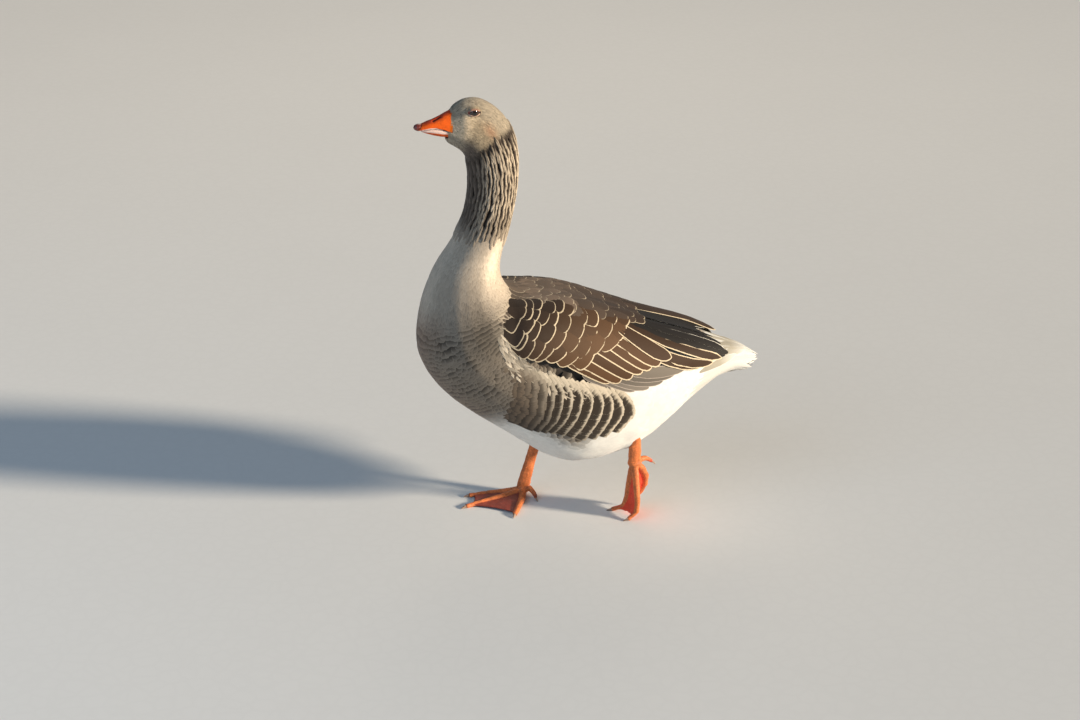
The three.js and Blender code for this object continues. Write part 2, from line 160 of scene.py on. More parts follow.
class GooseStage(PropertyGroup):
    """Floor, camera and lights."""

    floor: hue("Floor", "Plain floor", (0.68, 0.68, 0.68))
    camera_place: FloatVectorProperty(
        name="Camera", description="Place of the camera", default=(-0.86413, -3.17138, 1.6),
        subtype="TRANSLATION", unit="LENGTH",
    )
    camera_turn: FloatVectorProperty(
        name="Camera turn", description="Turn of the camera", subtype="EULER",
        default=(math.radians(67.4), 0.0, math.radians(-14.0)),
    )
    lens: amount("Lens", "Focal length in millimetres", 82.667, 1.0)
    key_power: amount("Key", "Strength of the warm light", 6.6)
    fill_power: amount("Fill", "Power of the cool light in watts", 34.0)
    rim_power: amount("Rim", "Power of the light from behind in watts", 10.0)
    ambient: amount("Ambient", "Strength of the light all round", 0.20)


def feather_hue(name):
    """A colour of the feathers, as it is set."""
    return np.array(getattr(bpy.context.scene.goose_plumage, name))


def bare_hue(name):
    """A colour of the bare parts, as it is set."""
    return np.array(getattr(bpy.context.scene.goose_bare_parts, name))


# The sections that the coat is laid out on, from the bill to the tail:
# x and z of the back, then x and z of the throat, breast or belly.
SECTIONS = (
    (-0.2042, 0.6200, -0.2092, 0.5780),
    (-0.1772, 0.6350, -0.1932, 0.5670),
    (-0.1542, 0.6325, -0.1822, 0.5575),
    (-0.1262, 0.6110, -0.1757, 0.5410),
    (-0.1092, 0.5750, -0.1742, 0.5140),
    (-0.1062, 0.5300, -0.1762, 0.4890),
    (-0.1122, 0.4810, -0.1832, 0.4620),
    (-0.1242, 0.4330, -0.2002, 0.4280),
    (-0.1332, 0.3890, -0.2272, 0.3850),
    (-0.1192, 0.3580, -0.2462, 0.3250),
    (-0.0872, 0.3500, -0.2482, 0.2620),
    (-0.0392, 0.3440, -0.2092, 0.2030),
    (0.0228, 0.3200, -0.1262, 0.1390),
    (0.0868, 0.2940, -0.0422, 0.0850),
    (0.1448, 0.2720, 0.0578, 0.1000),
    (0.1908, 0.2500, 0.1328, 0.1600),
    (0.2198, 0.2360, 0.1848, 0.2000),
    (0.2348, 0.2260, 0.2188, 0.2020),
    (0.2508, 0.2140, 0.2488, 0.2100),
)

GROWTH = 1.0 * MM  # copies of neighbouring solids grow by this much, so that they join
FORM_VOXEL = 2.6 * MM
SKIN_VOXEL = 3.2 * MM
CHART_STEP = 0.05  # stations between the rows of the body chart
CHART_START = 0.1  # the first station of the body chart, just behind the base of the bill
CHART_END = 17.7  # the last of them, just inside the tip of the tail
CHART_TURNS = 240
REACH = 0.5  # how far rays are cast
EYE_DEPTH = 4.5 * MM  # how much deeper the eyeballs sit than their solids
FILLING_DEPTH = 7.0 * MM  # and how much deeper the copies of them sit that fill the sockets
SLOWEST_T = 8 * MM  # least length of a station, where sections draw together
SLOWEST_U = 30 * MM  # least length of a whole turn
T_PROBE = 0.06  # steps on either side of a place that its slopes are taken over
U_PROBE = 0.006
LEAST_SPREAD = 0.35  # least share of a cell's area that is left where a chart is slanted
SPIKE = 1.12  # radii longer than this share of those around them are spikes
BARB_REPEAT = 10 * MM  # length of a vane for each unit of its map


# ---------------------------------------------------------------- forms and charts


def glide(table, t):
    """The rows of a table at the stations t, on smooth curves through all of them."""
    table = np.asarray(table, float)
    last = len(table) - 1
    i = np.clip(np.floor(t).astype(int), 0, last - 1)
    a, b, c, d = (table[np.clip(i + k, 0, last)] for k in (-1, 0, 1, 2))
    f = (t - i)[..., None]
    return b + 0.5 * f * (c - a + f * (2 * a - 5 * b + 4 * c - d + f * (3 * (b - c) + d - a)))


def unit(vectors):
    """Vectors brought to a length of one."""
    return vectors / np.maximum(np.linalg.norm(vectors, axis=-1, keepdims=True), 1e-12)


def dot(a, b):
    """Scalar products of two rows of vectors."""
    return (a * b).sum(axis=-1)


def coordinates(mesh):
    """Places of a mesh's corners, in rows."""
    co = np.empty(len(mesh.vertices) * 3)
    mesh.vertices.foreach_get("co", co)
    return co.reshape(-1, 3)


def vertex_normals(mesh):
    """Normals of a mesh's corners, in rows."""
    normals = np.empty(len(mesh.vertices) * 3)
    mesh.vertex_normals.foreach_get("vector", normals)
    return normals.reshape(-1, 3)


def set_coordinates(mesh, co):
    """Moves a mesh's corners to the places given."""
    mesh.vertices.foreach_set("co", np.ascontiguousarray(co, np.float32).ravel())
    mesh.update()


def joined_copy(nodes, growth):
    """A mesh of copies of CAD nodes, merged, with every corner moved outwards by the growth.

    Copies of the eyes sit deeper, so that they fill their sockets without showing."""
    bm = bmesh.new()
    for node in nodes:
        start = len(bm.verts)
        bm.from_mesh(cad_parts[node].data)
        bm.verts.ensure_lookup_table()
        for vertex in bm.verts[start:] if node in EYE_NODES else ():
            vertex.co.y -= math.copysign(FILLING_DEPTH, vertex.co.y)
    bmesh.ops.remove_doubles(bm, verts=bm.verts, dist=1e-5)
    bm.normal_update()
    for vertex in bm.verts:
        vertex.co += vertex.normal * growth
    mesh = bpy.data.meshes.new("joined")
    bm.to_mesh(mesh)
    bm.free()
    return mesh


def remeshed(nodes, voxel, growth, rounds):
    """One smooth shell around copies of CAD nodes, at their own size."""
    source = bpy.data.objects.new("form", joined_copy(nodes, growth))
    bpy.context.scene.collection.objects.link(source)
    remesh = source.modifiers.new("one shell", "REMESH")
    remesh.mode = "VOXEL"
    remesh.voxel_size = voxel
    smooth = source.modifiers.new("smooth", "SMOOTH")
    smooth.factor = 0.5
    smooth.iterations = rounds
    evaluated = source.evaluated_get(bpy.context.evaluated_depsgraph_get())
    mesh = bpy.data.meshes.new_from_object(evaluated)
    set_coordinates(mesh, coordinates(mesh) - vertex_normals(mesh) * growth)
    old = source.data
    bpy.data.objects.remove(source)
    bpy.data.meshes.remove(old)
    mesh.polygons.foreach_set("use_smooth", np.ones(len(mesh.polygons), bool))
    return mesh


def tree_of(mesh):
    """A tree for casting rays at a mesh."""
    polygons = [tuple(polygon.vertices) for polygon in mesh.polygons]
    return BVHTree.FromPolygons([vertex.co.copy() for vertex in mesh.vertices], polygons)


@functools.cache
def feathered_form():
    """The body without the wings, its hollows filled by what sits in them."""
    return remeshed(FEATHERED_NODES + FILLING_NODES, FORM_VOXEL, GROWTH, 8)


@functools.cache
def winged_form():
    """The same with the wings."""
    return remeshed(FEATHERED_NODES + FILLING_NODES + WING_NODES, FORM_VOXEL, GROWTH, 4)


class Chart:
    """A grid of points on a form. Rows follow the lie of the feathers, and columns go around."""

    def __init__(self, points, rows):
        self.points = points
        self.rows = rows
        along = np.gradient(points, axis=0)
        around = (np.roll(points, -1, axis=1) - np.roll(points, 1, axis=1)) / 2
        self.normals = unit(np.cross(around, along))

    def sample(self, grid, t, u):
        """A grid's values between its points, going around without a seam."""
        nt, nu = self.points.shape[:2]
        i = np.clip((t - self.rows[0]) / (self.rows[1] - self.rows[0]), 0, nt - 1.001)
        j = np.mod(u, 1.0) * nu
        i0 = np.floor(i).astype(int)
        j0 = np.floor(j).astype(int)
        fi = (i - i0)[..., None]
        fj = (j - j0)[..., None]
        j0 = np.mod(j0, nu)
        j1 = np.mod(j0 + 1, nu)
        low = grid[i0, j0] * (1 - fj) + grid[i0, j1] * fj
        high = grid[i0 + 1, j0] * (1 - fj) + grid[i0 + 1, j1] * fj
        return low * (1 - fi) + high * fi

    def at(self, t, u):
        """Points and normals at (t, u)."""
        return self.sample(self.points, t, u), unit(self.sample(self.normals, t, u))

    def slopes(self, t, u):
        """Vectors in metres for each unit of t and of u."""
        t = np.clip(t, self.rows[0] + T_PROBE, self.rows[-1] - T_PROBE)
        along = (self.at(t + T_PROBE, u)[0] - self.at(t - T_PROBE, u)[0]) / (2 * T_PROBE)
        across = (self.at(t, u + U_PROBE)[0] - self.at(t, u - U_PROBE)[0]) / (2 * U_PROBE)
        along = unit(along) * np.maximum(np.linalg.norm(along, axis=-1, keepdims=True), SLOWEST_T)
        across = unit(across) * np.maximum(np.linalg.norm(across, axis=-1, keepdims=True), SLOWEST_U)
        return along, across

    def rates(self, t, u):
        """Metres for each unit of t and of u."""
        along, across = self.slopes(t, u)
        return np.linalg.norm(along, axis=-1), np.linalg.norm(across, axis=-1)

    def steps(self, t, u, vector):
        """Steps in t and u that follow a vector along the surface."""
        along, across = self.slopes(t, u)
        tt, tu, uu = dot(along, along), dot(along, across), dot(across, across)
        spread = np.maximum(tt * uu - tu * tu, LEAST_SPREAD * tt * uu)
        vt, vu = dot(vector, along), dot(vector, across)
        return (uu * vt - tu * vu) / spread, (tt * vu - tu * vt) / spread

    def heading(self, t, u, distance, angle):
        """Steps that go a distance along the surface, turned by an angle from the lie towards more u."""
        along, _ = self.slopes(t, u)
        normal = self.at(t, u)[1]
        ahead = unit(along)
        side = unit(np.cross(ahead, normal))
        angle = np.broadcast_to(angle, np.shape(t))[..., None]
        way = ahead * np.cos(angle) + side * np.sin(angle)
        return self.steps(t, u, way * np.broadcast_to(distance, np.shape(t))[..., None])


def blurred(grid, rounds):
    """A grid of points with its small steps smoothed out."""
    for _ in range(rounds):
        inner = grid.copy()
        inner[1:-1] = (grid[:-2] + 2 * grid[1:-1] + grid[2:]) / 4
        grid = (np.roll(inner, 1, axis=1) + 2 * inner + np.roll(inner, -1, axis=1)) / 4
    return grid


def without_spikes(radii):
    """Distances from the middle, without the few that run down a leg or out of the tail."""
    near = [np.roll(radii, step, axis=1) for step in range(-14, 15, 2)]
    steps = [np.roll(layer, step, axis=0) for layer in near for step in (-2, 0, 2)]
    middle = np.median(steps, axis=0)
    middle[:2], middle[-2:] = radii[:2], radii[-2:]
    return np.where(radii > middle * SPIKE, middle, radii)


def cast_sections(tree):
    """The places where rays from the middle of each section leave a form."""
    rows = np.arange(CHART_START, CHART_END + CHART_STEP / 2, CHART_STEP)
    rails = glide(SECTIONS, rows)
    angles = math.tau * np.arange(CHART_TURNS) / CHART_TURNS
    radii = np.zeros((len(rows), CHART_TURNS))
    middles = np.stack([(rails[:, 0] + rails[:, 2]) / 2, 0 * rows, (rails[:, 1] + rails[:, 3]) / 2], -1)
    ups = unit(np.stack([rails[:, 0] - rails[:, 2], 0 * rows, rails[:, 1] - rails[:, 3]], -1))
    rays = ups[:, None] * np.cos(angles)[None, :, None] - np.array([0, 1, 0]) * np.sin(angles)[None, :, None]
    for i, middle in enumerate(middles):
        for j in range(CHART_TURNS):
            distance = tree.ray_cast(Vector(middle), Vector(rays[i, j]), REACH)[3]
            radii[i, j] = distance if distance is not None else radii[i - 1, j]
    radii = without_spikes(radii)
    return middles[:, None] + rays * radii[..., None], rows


@functools.cache
def body_chart():
    """Chart of the flesh without the wings.

    t counts sections from the bill, and u turns from the back to the left."""
    grid, rows = cast_sections(tree_of(feathered_form()))
    return Chart(blurred(grid, 3), rows)


@functools.cache
def winged_chart():
    """The same chart of the flesh with the wings."""
    grid, rows = cast_sections(tree_of(winged_form()))
    return Chart(blurred(grid, 2), rows)


def nearest_places(points):
    """Stations and turns of the chart's places nearest to points."""
    chart = body_chart()
    grid = chart.points[::2, ::3]
    tree = KDTree(grid.shape[0] * grid.shape[1])
    for i, point in enumerate(grid.reshape(-1, 3)):
        tree.insert(point, i)
    tree.balance()
    nearest = np.array([tree.find(point)[1] for point in points])
    return chart.rows[::2][nearest // grid.shape[1]], (nearest % grid.shape[1]) * 3 / CHART_TURNS


# ---------------------------------------------------------------- feathers


def smoothstep(low, high, value):
    """From 0 at the low end to 1 at the high one, with soft ends."""
    share = np.clip((value - low) / (high - low), 0, 1)
    return share * share * (3 - 2 * share)


def mixed(a, b, share):
    """Colours between a and b."""
    share = np.asarray(share, float)[..., None]
    return np.asarray(a, float) * (1 - share) + np.asarray(b, float) * share


SCATTER_MOST = 0xFFFF


def scattered(cells, seed, rounds):
    """Numbers from 0 to SCATTER_MOST for cells of space, in no order that shows."""
    x, y, z = np.moveaxis(cells, -1, 0)
    mix = x * 73856093 ^ y * 19349663 ^ z * 83492791 ^ seed * 2654435
    values = []
    for _ in range(rounds):
        mix = (mix ^ mix >> 13) * 1274126177
        values.append((mix ^ mix >> 16) & SCATTER_MOST)
    return np.stack(values, -1)


def grain(points, size, seed):
    """Smooth noise from -1 to 1 at points, with lumps of a size in metres."""
    cell = points / size + seed * 17.3
    low = np.floor(cell).astype(np.int64)
    share = cell - low
    share = share * share * (3 - 2 * share)
    total = np.zeros(points.shape[:-1])
    for corner in range(8):
        step = np.array([corner & 1, corner >> 1 & 1, corner >> 2 & 1])
        value = scattered(low + step, seed, 1)[..., 0] / (SCATTER_MOST / 2) - 1
        weight = np.prod(np.where(step == 1, share, 1 - share), axis=-1)
        total += value * weight
    return total


# Outlines of feathers: shares of the length, half widths there, and the columns across.
OUTLINES = {
    "tiny": ((0, 0.55, 1), (0.55, 1, 0.15), (-1, 0, 1)),
    "small": ((0, 0.3, 0.62, 0.88, 1), (0.35, 0.9, 1, 0.66, 0.12), (-1, 0, 1)),
    "body": ((0, 0.4, 0.7, 0.9, 1), (0.4, 0.95, 1, 0.72, 0.2), (-1, -0.4, 0.4, 1)),
    "broad": ((0, 0.4, 0.72, 0.9, 1), (0.5, 1, 1, 0.84, 0.45), (-1, -0.4, 0.4, 1)),
    "bar": ((0, 0.3, 0.6, 0.84, 0.95, 1), (0.5, 1, 1, 1, 0.97, 0.88), (-1, -0.5, 0, 0.5, 1)),
    "round": (
        (0, 0.25, 0.5, 0.72, 0.88, 0.97, 1),
        (0.25, 0.75, 1, 0.98, 0.75, 0.42, 0.1),
        (-1, -0.75, 0, 0.75, 1),
    ),
    "pointed": ((0, 0.25, 0.5, 0.75, 0.92, 1), (0.4, 0.85, 1, 0.8, 0.4, 0.05), (-1, -0.5, 0, 0.5, 1)),
    "lance": ((0, 0.3, 0.6, 0.85, 1), (0.5, 1, 0.8, 0.4, 0.06), (-1, 0, 1)),
    "blunt": (
        (0, 0.3, 0.6, 0.78, 0.88, 0.94, 0.98, 1),
        (0.3, 0.85, 1, 1, 0.95, 0.83, 0.62, 0.3),
        (-1, -0.86, -0.45, 0, 0.45, 0.86, 1),
    ),
    "flight": (
        (0, 0.08, 0.22, 0.4, 0.58, 0.74, 0.86, 0.93, 0.975, 1),
        (0.35, 0.8, 1, 1, 0.97, 0.92, 0.8, 0.6, 0.34, 0.06),
        (-1, -0.86, -0.4, 0, 0.4, 0.86, 1),
    ),
}


def tip_distance(shares, widths, b, lengths, halves, zone):
    """Distances in metres from each corner to the outline of its feather's tip."""
    xs = shares[None, :] * lengths[:, None]
    ys = widths[None, :] * halves[:, None]
    x = np.broadcast_to(xs[:, :, None], xs.shape + b.shape)
    y = ys[:, :, None] * np.abs(b)
    ends = [((xs[:, -1], ys[:, -1]), (xs[:, -1] + 1e-6, 0 * ys[:, -1]))]
    ends += [
        ((xs[:, r], ys[:, r]), (xs[:, r + 1], ys[:, r + 1]))
        for r in range(len(shares) - 1)
        if shares[r + 1] > zone
    ]
    nearest = np.full(x.shape, np.inf)
    for (ax, ay), (bx, by) in ends:
        dx, dy = (bx - ax)[:, None, None], (by - ay)[:, None, None]
        px, py = x - ax[:, None, None], y - ay[:, None, None]
        share = np.clip((px * dx + py * dy) / (dx * dx + dy * dy + 1e-12), 0, 1)
        nearest = np.minimum(nearest, np.hypot(px - share * dx, py - share * dy))
    return nearest


class Vanes:
    """Feathers of one outline on a chart, as arrays of corners, colours and places in the maps.

    They may be told their sink at the root and rise at the tip with the curve between, their camber with its
    roof, their bend, tilt and thickness, how softly they are shaded, and where the zone of the tip begins."""

    def __init__(self, chart, outline, t, u, dt, du, half, **how):
        shares, widths, columns = (np.array(values, float) for values in OUTLINES[outline])
        count = len(t)
        self.root = (t, u)
        each = lambda label, usual=0.0: np.broadcast_to(how.get(label, usual), (count,))[:, None]
        a = shares[None, :]
        path_t = t[:, None] + a * dt[:, None]
        path_u = u[:, None] + a * du[:, None]
        along, across = chart.slopes(path_t, path_u)
        normal = chart.at(path_t, path_u)[1]
        run = dt[:, None, None] * along + du[:, None, None] * across
        side_t, side_u = chart.steps(path_t, path_u, unit(np.cross(run, normal)))
        reach = np.broadcast_to(half, (count,))[:, None] * widths[None, :]
        sag = each("bend") * 4 * a * (1 - a)
        b = np.append(columns, 0.0)
        out = reach[:, :, None] * b[None, None, :] + sag[:, :, None]
        across_t = path_t[..., None] + out * side_t[..., None]
        across_u = path_u[..., None] + out * side_u[..., None]
        points, normals = chart.at(across_t, across_u)
        lift = -each("sink") + (each("sink") + each("rise")) * a ** how.get("curve", 0.8)
        crown = how.get("camber", 0.0) * (1 - np.abs(b) ** how.get("roof", 2.0))
        tilt = each("tilt")[..., None] * b[None, None, :]
        lift = lift[:, :, None] + (crown[None, None, :] + tilt) * widths[None, :, None]
        top = np.append(np.where(np.abs(columns) < 1, 0.5, 0.0), -0.5)
        lift = lift + how.get("thick", 0.3 * MM) * top[None, None, :] * np.sqrt(widths)[None, :, None]
        self.points = points + normals * lift[..., None]
        self.normals = self.shading(normals, how.get("soft", 0.6))
        self.a = np.broadcast_to(a[:, :, None], lift.shape)
        self.b = np.broadcast_to(b[None, None, :], lift.shape)
        self.length = np.linalg.norm(run, axis=-1).mean(axis=1)
        self.from_side = (1 - np.abs(self.b)) * reach[:, :, None]
        zone = how.get("tip_zone", 0.55)
        self.from_tip = tip_distance(shares, widths, b, self.length, reach.max(axis=1), zone)
        self.tint = np.ones(lift.shape + (3,))
        self.rim = np.ones((count, 3))
        self.tip_rim = np.zeros(count)
        self.side_rim = np.zeros((count, 2))

    def shading(self, normals, soft):
        """Normals of the upper side, drawn towards those of the body by the share soft."""
        upper = self.points[:, :, :-1]
        own = unit(np.cross(np.gradient(upper, axis=1), np.gradient(upper, axis=2)))
        own = own * np.where(dot(own, normals[:, :, :-1]) < 0, -1, 1)[..., None]
        blend = normals.copy()
        blend[:, :, :-1] = unit(own * (1 - soft) + normals[:, :, :-1] * soft)
        return blend

    def paint(self, base, rim, tip_rim, side_rim=(0.0, 0.0), fade=0.0, blend=1.0):
        """Base colours, and rims of another colour along the tip and along the sides of less and more u.

        The roots are darker by the share fade, and past the share blend the base turns into the rim."""
        count = len(self.length)
        self.tint = np.broadcast_to(np.asarray(base, float).reshape(-1, 1, 1, 3), self.tint.shape).copy()
        self.tint *= (1 - fade * (1 - self.a))[..., None]
        self.rim = np.broadcast_to(np.asarray(rim, float).reshape(-1, 3), (count, 3))
        if blend < 1:
            self.tint = mixed(self.tint, self.rim[:, None, None, :], smoothstep(blend, 1.0, self.a))
        self.tip_rim = np.broadcast_to(tip_rim, (count,))
        self.side_rim = np.broadcast_to(np.asarray(side_rim, float).reshape(-1, 2), (count, 2))
        return self


PATCH = 0.003  # width of a small feather's patch on the map for baking
PATCH_GAP = 0.04  # share of a large one's cell that stays free around it
FAR = 50.0  # most that the edge map says


def vane_faces(group, start):
    """Four-sided walls and three-sided ends of a group's feathers, and which walls are upper sides."""
    count, rows, around = group.points.shape[:3]
    low = around - 1
    ring = list(range(around))
    walls = [
        (r * around + a, r * around + b, (r + 1) * around + b, (r + 1) * around + a)
        for r in range(rows - 1)
        for a, b in zip(ring, ring[1:] + ring[:1])
    ]
    end = (rows - 1) * around
    ends = [(a + 1, a, low) for a in range(low - 1)]
    ends += [(end + a, end + a + 1, end + low) for a in range(low - 1)]
    offsets = (start + np.arange(count) * rows * around)[:, None, None]
    upper = np.tile([a < low - 1 for _ in range(rows - 1) for a in ring], count)
    return (np.array(walls) + offsets).reshape(-1, 4), (np.array(ends) + offsets).reshape(-1, 3), upper


def patches(groups, large):
    """Places on the map for baking: each feather at its root's place, or large ones side by side.

    The map is the body's own chart, with turns across and stations down."""
    roots = np.concatenate([np.stack([np.mod(group.root[1], 1.0), group.root[0]], -1) for group in groups])
    if not large:
        low = roots.min(axis=0)
        corner = PATCH + (roots - low) * (1 - 3 * PATCH) / np.maximum(roots.max(axis=0) - low, 1e-9)
        size = np.array([PATCH, PATCH])
    else:
        across = int(math.ceil(math.sqrt(len(roots) / 2)))
        down = int(math.ceil(len(roots) / across))
        order = np.argsort(roots[:, 1], kind="stable")
        corner = np.zeros_like(roots)
        for row in range(down):
            members = order[row * across:(row + 1) * across]
            members = members[np.argsort(roots[members, 0], kind="stable")]
            corner[members, 0] = np.arange(len(members)) / across
            corner[members, 1] = row / down
        cell = np.array([1 / across, 1 / down])
        size = cell * (1 - 2 * PATCH_GAP)
        corner = corner + cell * PATCH_GAP
    maps = []
    start = 0
    for group in groups:
        count = len(group.root[0])
        place = corner[start:start + count][:, None, None, :]
        maps.append(place + np.stack([group.b * 0.5 + 0.5, group.a], -1) * size)
        start += count
    return maps


def coat_mesh(name, groups, large=False):
    """One mesh from groups of feathers, with their colours, rims and maps."""
    quads, triangles, uppers = [], [], []
    start = 0
    for group in groups:
        walls, ends, upper = vane_faces(group, start)
        uppers.append(upper)
        quads.append(walls)
        triangles.append(ends)
        start += group.points[..., 0].size
    quads, triangles = np.concatenate(quads), np.concatenate(triangles)
    loops = np.concatenate([quads.ravel(), triangles.ravel()])
    starts = np.concatenate([np.arange(len(quads)) * 4, len(quads) * 4 + np.arange(len(triangles)) * 3])
    corners = np.concatenate([group.points.reshape(-1, 3) for group in groups])
    mesh = bpy.data.meshes.new(name)
    mesh.vertices.add(len(corners))
    mesh.vertices.foreach_set("co", corners.astype(np.float32).ravel())
    mesh.loops.add(len(loops))
    mesh.loops.foreach_set("vertex_index", loops.astype(np.int32))
    mesh.polygons.add(len(starts))
    mesh.polygons.foreach_set("loop_start", starts.astype(np.int32))
    # Only the upper sides are smooth, with the normals of their feathers right up to the edge.
    smooth = np.concatenate(uppers + [np.zeros(len(triangles), bool)])
    mesh.polygons.foreach_set("use_smooth", smooth)
    mesh.update(calc_edges=True)
    normals = np.concatenate([group.normals.reshape(-1, 3) for group in groups])[loops]
    sizes = np.concatenate([np.full(len(quads), 4), np.full(len(triangles), 3)])
    normals = np.where(np.repeat(smooth, sizes)[:, None], normals, 0.0)
    mesh.normals_split_custom_set(normals.astype(np.float32))
    set_tint(mesh, "tint", np.concatenate([group.tint.reshape(-1, 3) for group in groups]))
    rims = [np.broadcast_to(group.rim[:, None, None, :], group.tint.shape) for group in groups]
    set_tint(mesh, "rim", np.concatenate([rim.reshape(-1, 3) for rim in rims]))
    # The vane map holds the way across in turns of the barbs, and the edge map the distance from rims.
    vane = [np.stack([group.b, group.a * group.length[:, None, None] / BARB_REPEAT], -1) for group in groups]
    edge = [edge_map(group) for group in groups]
    for label, maps in (("OFBake", patches(groups, large)), ("vane", vane), ("edge", edge)):
        layer = mesh.uv_layers.new(name=label)
        values = np.concatenate([part.reshape(-1, 2) for part in maps])
        layer.data.foreach_set("uv", values[loops].astype(np.float32).ravel())
    return mesh


def edge_map(group):
    """Distances from the tip's and the sides' rims, in widths of the rim: under 1 is on the rim."""
    tip = group.from_tip / np.maximum(group.tip_rim, 1e-6)[:, None, None]
    low, high = (np.maximum(group.side_rim[:, k], 1e-6)[:, None, None] for k in (0, 1))
    span = group.from_side / np.where(group.b < 0, low, high)
    return np.stack([np.minimum(tip, FAR), np.minimum(span, FAR)], -1)


def set_tint(mesh, name, tints):
    """Colours for each corner of a mesh."""
    layer = mesh.attributes.new(name, "FLOAT_COLOR", "POINT")
    rgba = np.concatenate([np.clip(tints, 0, 1), np.ones((len(tints), 1))], axis=1)
    layer.data.foreach_set("color", rgba.astype(np.float32).ravel())


def placed(name, mesh, slot, *nodes):
    """An object in the shared frame that rides on the goose and stands for CAD nodes."""
    piece = bpy.data.objects.new(name, mesh)
    bpy.context.scene.collection.objects.link(piece)
    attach(piece, BODY)
    if nodes:
        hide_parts(*nodes)


# ---------------------------------------------------------------- markings, with painted light and shade


def turn_from_back(u):
    """0 at the back and 0.5 at the belly, on either side."""
    u = np.mod(u, 1.0)
    return np.minimum(u, 1 - u)


def white_share(t, u):
    """Where the plumage is white: the belly, the vent and all that is behind the flanks."""
    v = turn_from_back(u)
    belly = smoothstep(0.35, 0.39, v) * smoothstep(11.3, 11.9, t)
    vent = smoothstep(12.65, 12.95, t) * smoothstep(0.08, 0.12, v)
    rump = smoothstep(14.4, 14.8, t)
    return np.maximum(np.maximum(belly, vent), rump)


def side_share(t, u):
    """How strongly the feathers of the breast are barred: weakly in front, strongly on the sides."""
    v = turn_from_back(u)
    side = smoothstep(8.6, 10.2, t + 1.6 * (0.25 - np.abs(v - 0.25)))
    return side * (1 - 0.5 * smoothstep(0.36, 0.5, v))


def mantle_share(t, u):
    """Where the dark feathers of the shoulders lie."""
    v = turn_from_back(u)
    return smoothstep(8.75, 9.3, t - 1.3 * (v - 0.1)) * (1 - smoothstep(0.17, 0.215, v))


def spot(t, v, middle_t, reach_t, middle_v, reach_v):
    """A soft spot around a place."""
    return np.exp(-(((t - middle_t) / reach_t) ** 2) - ((v - middle_v) / reach_v) ** 2)


def band(value, low, full, ebb, gone):
    """0 up to low, 1 from full to ebb, and 0 again from gone on."""
    return smoothstep(low, full, value) * (1 - smoothstep(ebb, gone, value))


# Soft spots: middle and reach in stations, then in turns from the back.
RUST_SPOT = (2.75, 0.4, 0.185, 0.035)
# Painted sunlight on the pale base of the neck.
SUNLIT_PATCH_SPOT = (7.5, 0.6, 0.18, 0.05)
# Painted shade in the hollow between the base of the neck and the wing.
HOLLOW_SHADE_SPOT = (9.4, 1.0, 0.235, 0.06)
GLOW_SPOT = (10.3, 0.5, 0.205, 0.02)
# Painted shade on the underside of the breast.
UNDERSIDE_SHADE_TONE = (0.55, 0.42, 0.36)  # dims the underside of the breast


def head_colours(t, v, cloud):
    """Colours of the head, and of the neck but for its furrows."""
    cheek = band(t, 0.9, 1.6, 3.0, 3.8) * band(v, 0.10, 0.2, 0.34, 0.42)
    # Pale muzzle: partly a pale marking, partly painted sunlight on the front of the face.
    pale_sunlit_muzzle = band(t, 0.2, 0.5, 1.2, 2.1) * band(v, 0.12, 0.18, 0.34, 0.40)
    lore = (1 - smoothstep(0.2, 0.45, t)) * band(v, 0.08, 0.16, 0.30, 0.36)
    # Dark throat: partly the feathers' own tone, partly painted shade under the head.
    throat = smoothstep(1.1, 2.2, t) * smoothstep(0.31, 0.39, v)
    base = mixed(feather_hue("head"), feather_hue("cheek"), cheek)
    base = mixed(base, feather_hue("pale_sunlit_muzzle"), pale_sunlit_muzzle * (0.75 + 0.25 * cloud))
    base = mixed(base, feather_hue("rust"), 0.6 * spot(t, v, *RUST_SPOT))
    base = mixed(base, feather_hue("lore"), lore)
    return mixed(base, feather_hue("throat"), throat)


